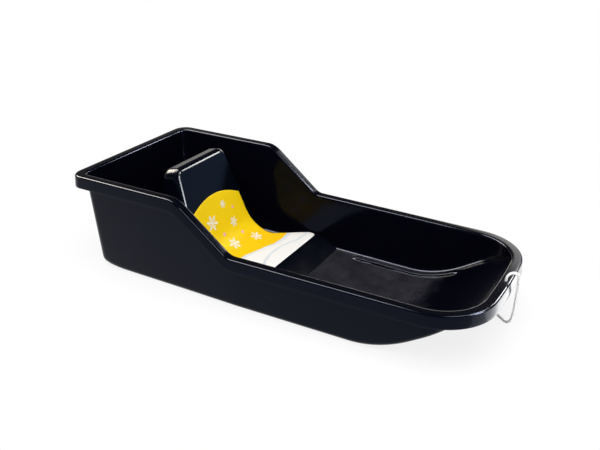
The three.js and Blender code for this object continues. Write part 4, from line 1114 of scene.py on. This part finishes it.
def label_material(settings):
    """Printed film: yellow ground with snow banks along the front, snowflakes and dots. The
    pattern lies on the UV map, in metres: X from the front edge up, Y across."""
    material, n, shader = new_material("printed label")
    uv = n.add("ShaderNodeUVMap", uv_map="UVMap").outputs["UV"]
    parts = n.split(uv)
    along, across = parts["X"], parts["Y"]
    soft = n.noise(uv, 34.0)

    def bank(height, swing, waves, phase, edge=0.0012):
        """1 below a wavy line across the label."""
        wave = n.times(n.math("SINE", n.plus(n.times(across, waves), phase)), swing)
        ragged = n.times(n.minus(soft, 0.5), 0.012)
        line = n.plus(n.plus(wave, height), ragged)
        return n.between(n.minus(along, line), edge, -edge)

    ground, snow, frost = settings.ground, settings.snow, settings.frost
    paint = n.mix(n.times(bank(0.118, 0.016, 21.0, 0.6, 0.010), 0.55), ground, settings.shade)
    paint = n.mix(n.between(soft, 0.5, 0.9, 0.0, 0.35), paint, ground)
    paint = n.mix(bank(0.072, 0.014, 24.0, 2.4), paint, frost)
    paint = n.mix(bank(0.064, 0.014, 24.0, 2.2, 0.004), paint, snow)
    paint = n.mix(bank(0.034, 0.010, 31.0, 0.4), paint, frost)
    paint = n.mix(bank(0.029, 0.010, 31.0, 0.3, 0.003), paint, snow)
    for x, y, radius, turn in SNOWFLAKES:
        flake = n.group("Snowflake", snowflake, {
            "Vector": uv, "Centre": (x, y, 0), "Radius": radius, "Turn": turn})
        paint = n.mix(flake["Mask"], paint, snow)
    for x, y, radius in DOTS:
        away = n.add("ShaderNodeVectorMath", operation="DISTANCE")
        n.chain(away, (uv, (x, y, 0)))
        dot = n.between(away.outputs["Value"], radius * 1.1, radius * 0.9)
        paint = n.mix(dot, paint, settings.dots)
    n.fill(shader, {
        "Base Color": paint,
        "Roughness": n.between(n.noise(uv, 900.0, 2.0), 0.2, 0.8, 0.42, 0.52),
        "Specular IOR Level": 0.03,
        "Normal": n.bump(n.noise(uv, 45.0, 2.0), 0.20, 0.0006),
    })
    return material


def braid(name):
    """Braid on a UV map that runs in metres along and once round: two families of strands wind
    against each other, and each dips where the other crosses it."""
    n, i, o = new_group(name, [
        ("Vector", VECTOR, None), ("Strands", FLOAT, 8.0), ("Lay", FLOAT, 0.011),
    ], [("Height", FLOAT), ("Groove shade", FLOAT), ("Fibre", FLOAT)])
    parts = n.split(i["Vector"])
    along = n.times(n.math("DIVIDE", parts["X"], i["Lay"]), 2 * math.pi)
    around = n.times(n.times(parts["Y"], i["Strands"]), math.pi)
    turns = n.times(along, n.times(i["Strands"], 0.5))
    right = n.math("ABSOLUTE", n.math("SINE", n.plus(turns, around)))
    left = n.math("ABSOLUTE", n.math("SINE", n.minus(turns, around)))
    pick = n.between(n.math("SINE", n.times(around, 2.0)), -0.25, 0.25)
    height = n.plus(n.times(right, pick), n.times(left, n.minus(1.0, pick)))
    n.link(height, o["Height"])
    # Mask for the painted shade in the braid's grooves
    n.link(n.between(height, 0.35, 0.05), o["Groove shade"])
    n.link(n.noise(n.stretch(i["Vector"], (2200.0, 60.0, 0.0)), 1.0, 2.0), o["Fibre"])
    return n.tree


def rope_material(settings):
    """White braid with painted shade in its grooves, that lets a little light through."""
    material, n, shader = new_material("braided rope")
    uv = n.add("ShaderNodeUVMap", uv_map="UVMap").outputs["UV"]
    out = n.group("Braid", braid, {"Vector": uv})
    light = settings.colour
    worn = n.mix(n.between(out["Fibre"], 0.3, 0.8, 0.0, 0.25), light, [0.86 * c for c in light])
    n.fill(shader, {
        # Painted shade: the base colour darkens in the braid's grooves
        "Base Color": n.mix(n.times(out["Groove shade"], 0.45), worn, [0.55 * c for c in light]),
        "Roughness": n.between(out["Fibre"], 0.0, 1.0, 0.72, 0.9),
        "Subsurface Weight": 0.6,
        "Subsurface Radius": (1.0, 1.0, 1.0),
        "Subsurface Scale": 0.004,
        "Sheen Weight": 0.25,
        "Sheen Roughness": 0.5,
        "Normal": n.bump(out["Fibre"], 0.25, 0.0001, n.bump(out["Height"], 0.8, 0.0006)),
    })
    return material


def strap_material():
    """Grey webbing of the tie: fine ribs across with painted shade in their hollows, and a slow change
    of tone along.
    """
    material, n, shader = new_material("tie webbing")
    uv = n.add("ShaderNodeUVMap", uv_map="UVMap").outputs["UV"]
    parts = n.split(uv)
    along, across = (
        n.math("ABSOLUTE", n.math("SINE", n.times(parts[axis], math.pi / pitch)))
        for axis, pitch in (("X", 0.0007), ("Y", 0.0009)))
    weave = n.times(along, across)
    tone = n.mix(n.noise(uv, 120.0), (0.040, 0.042, 0.047), (0.070, 0.072, 0.078))
    n.fill(shader, {
        # Painted shade: near black in the weave's hollows
        "Base Color": n.mix(n.between(weave, 0.3, 0.0), tone, (0.012, 0.012, 0.014)),
        "Roughness": n.between(weave, 0.0, 1.0, 0.9, 0.65),
        "Normal": n.bump(weave, 0.6, 0.0002),
    })
    return material


# Rope paths, as points from the rear edge, to the left and up
ROPE_ROUTE = (
    (0.890, 0, 0.1198), (0.890, 0, 0.125), (0.8912, 0.0008, 0.131), (0.895, 0.003, 0.1363),
    (0.9005, 0.007, 0.138), (0.9058, 0.0115, 0.1346), (0.9086, 0.015, 0.127), (0.9092, 0.018, 0.113),
    (0.9084, 0.022, 0.085), (0.906, 0.028, 0.048), (0.901, 0.036, 0.020), (0.892, 0.047, 0.0064),
    (0.879, 0.060, 0.003), (0.861, 0.077, 0.0028), (0.840, 0.099, 0.0028), (0.817, 0.130, 0.0028),
    (0.788, 0.167, 0.0028), (0.752, 0.201, 0.0028), (0.712, 0.225, 0.0028), (0.668, 0.237, 0.0028),
    (0.622, 0.238, 0.0028), (0.580, 0.233, 0.0028), (0.545, 0.229, 0.003), (0.512, 0.228, 0.0038),
    (0.496, 0.228, 0.0041),
)
TAIL_ROUTE = (
    (0.448, 0.228, 0.0099), (0.434, 0.227, 0.0074), (0.420, 0.225, 0.004), (0.404, 0.223, 0.0028),
    (0.386, 0.222, 0.0032), (0.374, 0.222, 0.006), (0.362, 0.222, 0.0083), (0.354, 0.222, 0.0083),
    (0.345, 0.2232, 0.0083), (0.3364, 0.2251, 0.0083),
)
HAND_LOOP_ROUTE = (
    (0.329, 0.2251, 0.0076), (0.312, 0.234, 0.004), (0.286, 0.246, 0.0028), (0.258, 0.246, 0.0028),
    (0.240, 0.236, 0.0028), (0.234, 0.222, 0.0028), (0.240, 0.208, 0.0028), (0.258, 0.1984, 0.0028),
    (0.286, 0.1984, 0.0028), (0.312, 0.210, 0.004), (0.329, 0.2189, 0.0076), (0.3375, 0.2189, 0.0083),
)


# Name, node, axis, winding radius, turns and length of each knot
KNOTS = (
    ("stop_knot", "rope_stop_knot", "z", 0.0028, 1.35, 0.0068),
    ("hand_knot", "rope_hand_knot", "x", 0.0053, 2.3, 0.0122),
)


def coil_path(r):
    """Loops that spiral in on the lower layer, climb where the spiral turns back, and spiral
    out on the upper one, with a straight lead at each end."""
    loops = np.linspace(0, 2 * r.coil_loops, 2 * r.coil_loops * 32 + 1)
    radius = r.coil_radius - r.coil_pitch * (r.coil_loops - np.abs(loops - r.coil_loops))
    climb = np.clip((loops - r.coil_loops) * 2 + 0.5, 0, 1)
    angle = -np.pi / 2 - 2 * np.pi * loops
    base = r.tie_lift + r.tie_thickness + r.tie_gap + r.diameter / 2
    path = np.stack([r.coil_x + radius * np.cos(angle), r.coil_y + radius * np.sin(angle),
                     base + r.coil_layer * climb], -1)
    lead = np.array([r.coil_lead, 0, 0])
    return np.vstack([path[:1] + lead, path, path[-1:] - lead])


def rope_path(r, spacing):
    """The whole rope, from below the nose over the lip and round to the coil, on to the knot
    and round the hand loop."""
    return through(np.vstack([ROPE_ROUTE, coil_path(r), TAIL_ROUTE, HAND_LOOP_ROUTE]), spacing)


def wound_knot(centre, axis, wind, turns, length):
    """Rope wound round an axis as a helix whose ends draw in towards the axis."""
    at = np.linspace(0, 1, int(48 * turns))
    radius = wind * (1 - 0.55 * np.clip((np.abs(at - 0.5) - 0.42) / 0.08, 0, 1) ** 2)
    angle = 2 * np.pi * turns * at
    helix = np.stack([radius * np.cos(angle), radius * np.sin(angle), length * (at - 0.5)], -1)
    if axis == "x":
        helix = helix[:, [2, 0, 1]]
    return helix + np.asarray(centre)


# Pieces

class SLED_OT_tub(bpy.types.Operator):
    """Build the moulded tub with its rim, lip, ribs and holes"""
    bl_idname = "sled.tub"
    bl_label = "Tub"

    def execute(self, context):
        scene = context.scene
        t, s, f = scene.sled_tub, scene.sled_seat, scene.sled_finish
        rings = mirrored_rings(tub_levels(t))
        faces = grid_quads(*rings.shape[:2], close_columns=True)
        mesh = make_mesh("tub_shell", to_frame(rings, t), faces)
        clean(mesh)
        material = plastic("tub plastic", f.tub, f.tub_gloss, 0.13, 0.12, f)
        piece = place_piece("tub_shell", mesh, material, ["tub"])
        # How far the cutters reach beyond the sheet
        over = 0.006
        low, high = t.low_height - t.sheet - over / 2, t.low_height + over
        rope_hole = [(0, low), (t.hole_radius, low), (t.hole_radius, high), (0, high)]
        cutters = [turned(rope_hole, (t.length - t.hole_inset, 0), 48)]
        shank, head = s.rivet_shank + s.rivet_gap, s.rivet_head + s.rivet_gap
        sink, above = t.sheet / 8, t.sheet + over
        rivet_hole = [(0, -over), (head, -over), (head, sink), (shank, t.sheet - sink),
                      (shank, above), (0, above)]
        cutters += [turned(rivet_hole, place, 40) for place in rivet_places(t, s)]
        cut(piece, [(to_frame(points, t).reshape(-1, 3), faces) for points, faces in cutters])
        smooth(piece.data, 32)
        return {"FINISHED"}


class SLED_OT_seat(bpy.types.Operator):
    """Build the hollow seat with its backrest and feet"""
    bl_idname = "sled.seat"
    bl_label = "Seat"

    def execute(self, context):
        scene = context.scene
        t, s, f = scene.sled_tub, scene.sled_seat, scene.sled_finish
        points, faces = seat_shell(t, s)
        base = seat_base(t, s)
        foot_x = rear_foot_x(t, s)
        wide = float(seat_half_width(t, s, np.array(foot_x), np.array(base))) - s.rear_round / 2
        # The side feet start inside the backrest's side
        inner, outer = s.half_width + 0.02, side_foot_edge(t, s)
        x0, x1 = s.side_foot_x - s.side_foot_length / 2, s.side_foot_x + s.side_foot_length / 2
        corner, bevel = 0.006, 0.0006
        plates = [rounded_box(*sides, corner) for sides in (
            (foot_x - s.foot_depth, foot_x + s.sheet / 2, -wide, wide),
            (x0, x1, inner, outer), (x0, x1, -outer, -inner))]
        mesh = make_mesh("seat_moulding", to_frame(points, t), faces)
        clean(mesh)
        bm = bmesh.new()
        bm.from_mesh(mesh)
        for corners in plates:
            points, faces = plate(corners, base, base + s.sheet, bevel)
            extra = make_mesh("foot", to_frame(points, t), faces)
            clean(extra)
            bm.from_mesh(extra)
            bpy.data.meshes.remove(extra)
        bm.to_mesh(mesh)
        bm.free()
        smooth(mesh, 40)
        material = plastic("seat plastic", f.seat, f.seat_gloss, 0.16, 0.095, f,
                           grain=1100.0, haze=0.12)
        place_piece("seat_moulding", mesh, material, ["seat_with_backrest"])
        return {"FINISHED"}


class SLED_OT_rivets(bpy.types.Operator):
    """Build the four rivets that hold the seat"""
    bl_idname = "sled.rivets"
    bl_label = "Rivets"

    def execute(self, context):
        scene = context.scene
        t, s, f = scene.sled_tub, scene.sled_seat, scene.sled_finish
        dome = seat_base(t, s) + s.sheet + s.rivet_gap
        # The dome stands on an upright rim, and the pin left a shallow hole below
        rim, pin, low = 0.0004, 0.0011, s.rivet_gap
        cap = [(s.rivet_head * math.cos(a), dome + rim + (s.rivet_dome - rim) * math.sin(a))
               for a in np.linspace(0, np.pi / 2, 10)[:-1]]
        profile = [(0, low + rim), (pin, low + rim), (pin, low), (s.rivet_head - s.rivet_gap, low),
                   (s.rivet_shank, t.sheet - t.sheet / 8), (s.rivet_shank, dome),
                   (s.rivet_head, dome), *cap, (0, dome + s.rivet_dome)]
        material = plastic("rivet plastic", f.tub, f.tub_gloss, 0.30, 0.3, f, grain=2500.0, haze=0.4)
        names = ("seat_rivet_rear_left", "seat_rivet_rear_right", "seat_rivet_left", "seat_rivet_right")
        for name, place in zip(names, rivet_places(t, s)):
            points, faces = turned(profile, place, 36)
            mesh = make_mesh(name + "_turned", to_frame(points, t), faces)
            clean(mesh)
            smooth(mesh, 40)
            place_piece(name + "_turned", mesh, material, [name])
        return {"FINISHED"}


class SLED_OT_label(bpy.types.Operator):
    """Build the printed label on the seat"""
    bl_idname = "sled.label"
    bl_label = "Label"

    def execute(self, context):
        scene = context.scene
        t, s, k = scene.sled_tub, scene.sled_seat, scene.sled_label
        line = SeatLine(t, s)
        profile, normals = line.points[line.face_start + 1:], line.normals[line.face_start + 1:]
        length = run_lengths(profile)
        end = float(np.interp(k.front_x, profile[:, 0], length))
        across = np.linspace(-1, 1, 61)
        rise = k.top_height + k.top_arch * (1 - across ** 2)
        # Depths along the side view, made to grow all the way so that a height can be looked up
        fall = np.maximum.accumulate(-profile[:, 1]) + np.arange(len(profile)) * 1e-9
        start = np.interp(-rise, fall, length)
        at = start + (end - start) * np.linspace(0, 1, 110)[:, None]
        x, z, nx, nz = (np.interp(at, length, values) for values in (*profile.T, *normals.T))
        lift = k.lift + k.thickness
        # Rounding of the two front corners
        corner = 0.010
        left = np.clip(corner - (end - at), 0, corner)
        trim = corner - np.sqrt(corner ** 2 - left ** 2)
        half = seat_half_width(t, s, x, z) - (Border(s).full + k.margin) * border_share(s, z) - trim
        points = np.stack([x + nx * lift, across[None] * half, z + nz * lift], -1)
        uv = np.stack([end - at, across[None] * half], -1)
        mesh = make_mesh("label_film", to_frame(points, t), grid_quads(*points.shape[:2])[:, ::-1], uv)
        if mesh.polygons[0].normal.x < 0:
            mesh.flip_normals()
        smooth(mesh, 60)
        material = label_material(k)
        piece = place_piece("label_film", mesh, material, ["seat_label"])
        solid = piece.modifiers.new("thickness", "SOLIDIFY")
        solid.thickness = k.thickness
        solid.offset = -1
        return {"FINISHED"}


class SLED_OT_rope(bpy.types.Operator):
    """Build the pull rope with its coil and hand loop, its knots and the tie"""
    bl_idname = "sled.rope"
    bl_label = "Rope"

    def execute(self, context):
        scene = context.scene
        t, r = scene.sled_tub, scene.sled_rope
        material = rope_material(r)
        spacing = 0.0014
        path = to_frame(rope_path(r, spacing), t)
        rope = self.strand("rope", path, r.diameter / 2, material,
                           ["pull_rope", "rope_coil", "rope_tail", "rope_hand_loop"])
        # Heights of the knots' middles: below the rim, and above the ground
        below, above = 0.0065, 0.0083
        centres = ((t.length - t.hole_inset, 0, t.low_height - t.sheet - below),
                   (r.hand_knot_x, r.hand_knot_y, above))
        tight = 0.98
        knots = [self.strand(name, to_frame(wound_knot(centre, *winding), t), r.diameter / 2 * tight,
                             material, [node])
                 for (name, node, *winding), centre in zip(KNOTS, centres)]
        knots.append(self.tie(t, r))
        return {"FINISHED"}

    def strand(self, name, path, radius, material, replaced):
        """A piece of round rope along a path."""
        sides = 14
        mesh = make_mesh(name, *tube(path, radius, sides), tube_uv(path, sides))
        smooth(mesh, 60)
        return place_piece(name, mesh, material, replaced)

    def tie(self, t, r):
        """A flat strap carried round the coil's rope on the side away from its ends."""
        base = r.tie_lift + r.tie_thickness + r.tie_gap + r.diameter / 2
        reach = r.diameter / 2 + r.tie_gap
        outer = r.coil_y + r.coil_radius - r.coil_pitch / 2 + reach
        inner = r.coil_y + r.coil_radius - r.coil_pitch * (r.coil_loops - 0.5) - reach
        line = rounded_box(inner, outer, base - reach, base + r.coil_layer + reach, reach * 0.6, 8)
        ahead = unit(np.roll(line, -1, 0) - np.roll(line, 1, 0))
        out = np.stack([ahead[:, 1], -ahead[:, 0]], -1)
        half = r.tie_width / 2
        bevel = r.tie_thickness * 0.3
        section = [(-half, bevel), (-half, r.tie_thickness - bevel), (-half + bevel, r.tie_thickness),
                   (half - bevel, r.tie_thickness), (half, r.tie_thickness - bevel), (half, bevel),
                   (half - bevel, 0), (-half + bevel, 0)]
        grid = (len(section), len(line))
        points = [np.column_stack([np.full(len(line), r.coil_x + along), line + out * lift])
                  for along, lift in section]
        uv = np.stack([np.broadcast_to(run_lengths(line), grid),
                       np.broadcast_to([[along] for along, _ in section], grid)], -1)
        mesh = make_mesh("tie", to_frame(points, t), grid_quads(*grid, True, True), uv)
        clean(mesh, merge=0)
        smooth(mesh, 50)
        return place_piece("tie", mesh, strap_material(), ["coil_tie"])


# The plastic tints its highlights blue, so most softboxes are warm
WARMTH = (1.0, 0.89, 0.74)
FAINT_WARMTH = (1.0, 0.95, 0.89)
WHITE = (1.0, 1.0, 1.0)

# Name, place, target, size, power and colour of the softboxes that only show as highlights
GLOSS_LAMPS = (
    ("long softbox", (-1.10, 0.15, 1.60), (-0.10, 0.0, 0.1), (1.9, 0.9), 255.0, WARMTH),
    ("back edge light", (0.60, 1.26, 0.98), (-0.25, 0.0, 0.23), (0.45, 0.25), 32.0, FAINT_WARMTH),
    ("back corner light", (0.83, 0.52, 1.14), (-0.25, -0.07, 0.23), (0.45, 0.3), 36.0, FAINT_WARMTH),
    ("back side light", (1.20, 0.06, 0.86), (-0.25, -0.07, 0.23), (0.4, 0.3), 36.0, FAINT_WARMTH),
    ("face edge light", (1.34, 0.0, 0.46), (-0.24, -0.09, 0.2), (0.3, 0.3), 28.0, FAINT_WARMTH),
    ("low strip", (-0.50, 2.70, 0.80), (0.10, 0.0, 0.12), (3.2, 0.5), 23.0, FAINT_WARMTH),
    ("nose edge light", (0.75, 0.20, 1.60), (0.42, -0.12, 0.12), (0.5, 0.7), 26.0, WARMTH),
    ("nose card", (0.59, 0.12, 0.004), (0.59, 0.12, 1.0), (0.20, 0.30), 0.45, WHITE),
    ("wide nose card", (0.62, 0.08, 0.003), (0.62, 0.08, 1.0), (0.32, 0.50), 0.70, WHITE),
)


class SLED_OT_stage(bpy.types.Operator):
    """Set up the camera, the floor, the background and the lights"""
    bl_idname = "sled.stage"
    bl_label = "Stage"

    def execute(self, context):
        scene = context.scene
        g = scene.sled_stage
        camera = bpy.data.objects.new("camera", bpy.data.cameras.new("camera"))
        camera.data.sensor_width = 36
        camera.data.lens = g.lens
        camera.location = g.place
        camera.rotation_euler = (math.pi / 2 - g.elevation, 0, g.azimuth)
        scene.collection.objects.link(camera)
        scene.camera = camera
        self.floor(scene)
        self.background(scene, g)
        self.lamp(scene, "daylight", (0.5, -0.9, 2.4), (0.0, 0.0, 0.0), (2.2, 2.2), g.daylight,
                  WHITE, gloss=False)
        for softbox in GLOSS_LAMPS:
            self.lamp(scene, *softbox, gloss=True)
        scene.view_settings.view_transform = "Standard"
        return {"FINISHED"}

    def floor(self, scene):
        """A wide pale plane. The camera sees it fade to white away from the sled."""
        half, level = 9.0, -HAIR
        corners = [(x * half, y * half, level) for x, y in ((-1, -1), (1, -1), (1, 1), (-1, 1))]
        mesh = make_mesh("floor", corners, [(0, 1, 2, 3)])
        floor = bpy.data.objects.new("floor", mesh)
        scene.collection.objects.link(floor)
        material, n, shader = new_material("pale floor")
        n.fill(shader, {"Base Color": (0.92, 0.92, 0.92), "Roughness": 0.9, "Specular IOR Level": 0.0})
        path = n.add("ShaderNodeLightPath").outputs
        seen = n.most(path["Is Camera Ray"], n.most(path["Is Glossy Ray"], path["Is Transmission Ray"]))
        away = n.add("ShaderNodeVectorMath", operation="LENGTH")
        place = n.add("ShaderNodeTexCoord").outputs["Object"]
        n.link(n.stretch(place, (0.72, 1.3, 0.0)), away.inputs[0])
        near = 1.0 - scene.sled_stage.shadow
        fade = n.times(seen, n.between(away.outputs["Value"], 0.36, 0.66, near, 1.0))
        blend = n.add("ShaderNodeMixShader")
        n.chain(blend, (fade, shader.outputs[0], n.add("ShaderNodeEmission").outputs[0]))
        n.link(blend.outputs[0], material.node_tree.nodes["Material Output"].inputs["Surface"])
        mesh.materials.append(material)

    def background(self, scene, g):
        """White where the camera sees it, white near the horizon in gloss, and dimmer above."""
        world = bpy.data.worlds.new("studio")
        world.use_nodes = True
        scene.world = world
        n = Nodes(world.node_tree)
        shader = world.node_tree.nodes["Background"]
        path = n.add("ShaderNodeLightPath").outputs
        parts = n.split(n.add("ShaderNodeTexCoord").outputs["Generated"])
        horizon = n.between(parts["Z"], 0.12, 0.38, 1.0, 0.07)
        mirrored = n.most(path["Is Glossy Ray"], path["Is Transmission Ray"])
        plain = n.minus(1.0, n.most(path["Is Camera Ray"], mirrored))
        strength = n.plus(path["Is Camera Ray"], n.times(mirrored, horizon))
        side = n.mix(n.between(parts["X"], -0.3, 0.5), (1.0, 0.96, 0.92), (0.42, 0.70, 1.12))
        n.fill(shader, {
            "Strength": n.plus(strength, n.times(plain, g.ambient)),
            "Color": n.mix(mirrored, (1.0, 1.0, 1.0), side),
        })

    def lamp(self, scene, name, place, target, dimensions, power, colour, gloss):
        """A soft light. One kind only lights matt surfaces, the other only shows as a highlight."""
        light = bpy.data.lights.new(name, "AREA")
        light.shape = "RECTANGLE"
        light.size, light.size_y = dimensions
        light.energy = power
        light.color = colour
        lamp = bpy.data.objects.new(name, light)
        lamp.location = place
        lamp.visible_camera = False
        lamp.visible_diffuse = not gloss
        lamp.visible_glossy = gloss
        ahead = unit(np.subtract(target, place))
        right = unit(np.cross(ahead, (0.0, -1.0, 0.0)))
        if abs(right[0]) < 0.2:
            right = unit(np.cross(ahead, (0.0, 0.0, 1.0)))
        up = np.cross(right, ahead)
        turn = np.array([right, up, -ahead]).T
        lamp.rotation_euler = Matrix(turn.tolist()).to_euler()
        scene.collection.objects.link(lamp)


class SLED_PT_panel(bpy.types.Panel):
    """Settings and build buttons of the sled"""
    bl_idname = "SLED_PT_panel"
    bl_label = "Baby pull sled"
    bl_space_type = "VIEW_3D"
    bl_region_type = "UI"
    bl_category = "Sled"

    def draw(self, context):
        for name in OPERATORS:
            self.layout.operator(name)
        for group in GROUPS:
            box = self.layout.box()
            settings = getattr(context.scene, group)
            for prop in settings.bl_rna.properties:
                if prop.identifier not in {"rna_type", "name"}:
                    box.prop(settings, prop.identifier)


GROUPS = {
    "sled_tub": TubSettings,
    "sled_seat": SeatSettings,
    "sled_label": LabelSettings,
    "sled_rope": RopeSettings,
    "sled_finish": FinishSettings,
    "sled_stage": StageSettings,
}
OPERATORS = ("sled.stage", "sled.rope", "sled.tub", "sled.seat", "sled.rivets", "sled.label")
CLASSES = (*GROUPS.values(), SLED_OT_tub, SLED_OT_seat, SLED_OT_rivets, SLED_OT_label, SLED_OT_rope,
           SLED_OT_stage, SLED_PT_panel)


def register():
    for cls in CLASSES:
        bpy.utils.register_class(cls)
    for name, group in GROUPS.items():
        setattr(bpy.types.Scene, name, PointerProperty(type=group))


def unregister():
    for name in GROUPS:
        delattr(bpy.types.Scene, name)
    for cls in reversed(CLASSES):
        bpy.utils.unregister_class(cls)


def main():
    register()
    bpy.ops.sled.stage()
    bpy.ops.sled.rope()
    bpy.ops.sled.tub()
    bpy.ops.sled.seat()
    bpy.ops.sled.rivets()
    bpy.ops.sled.label()


if __name__ == "__main__":
    main()
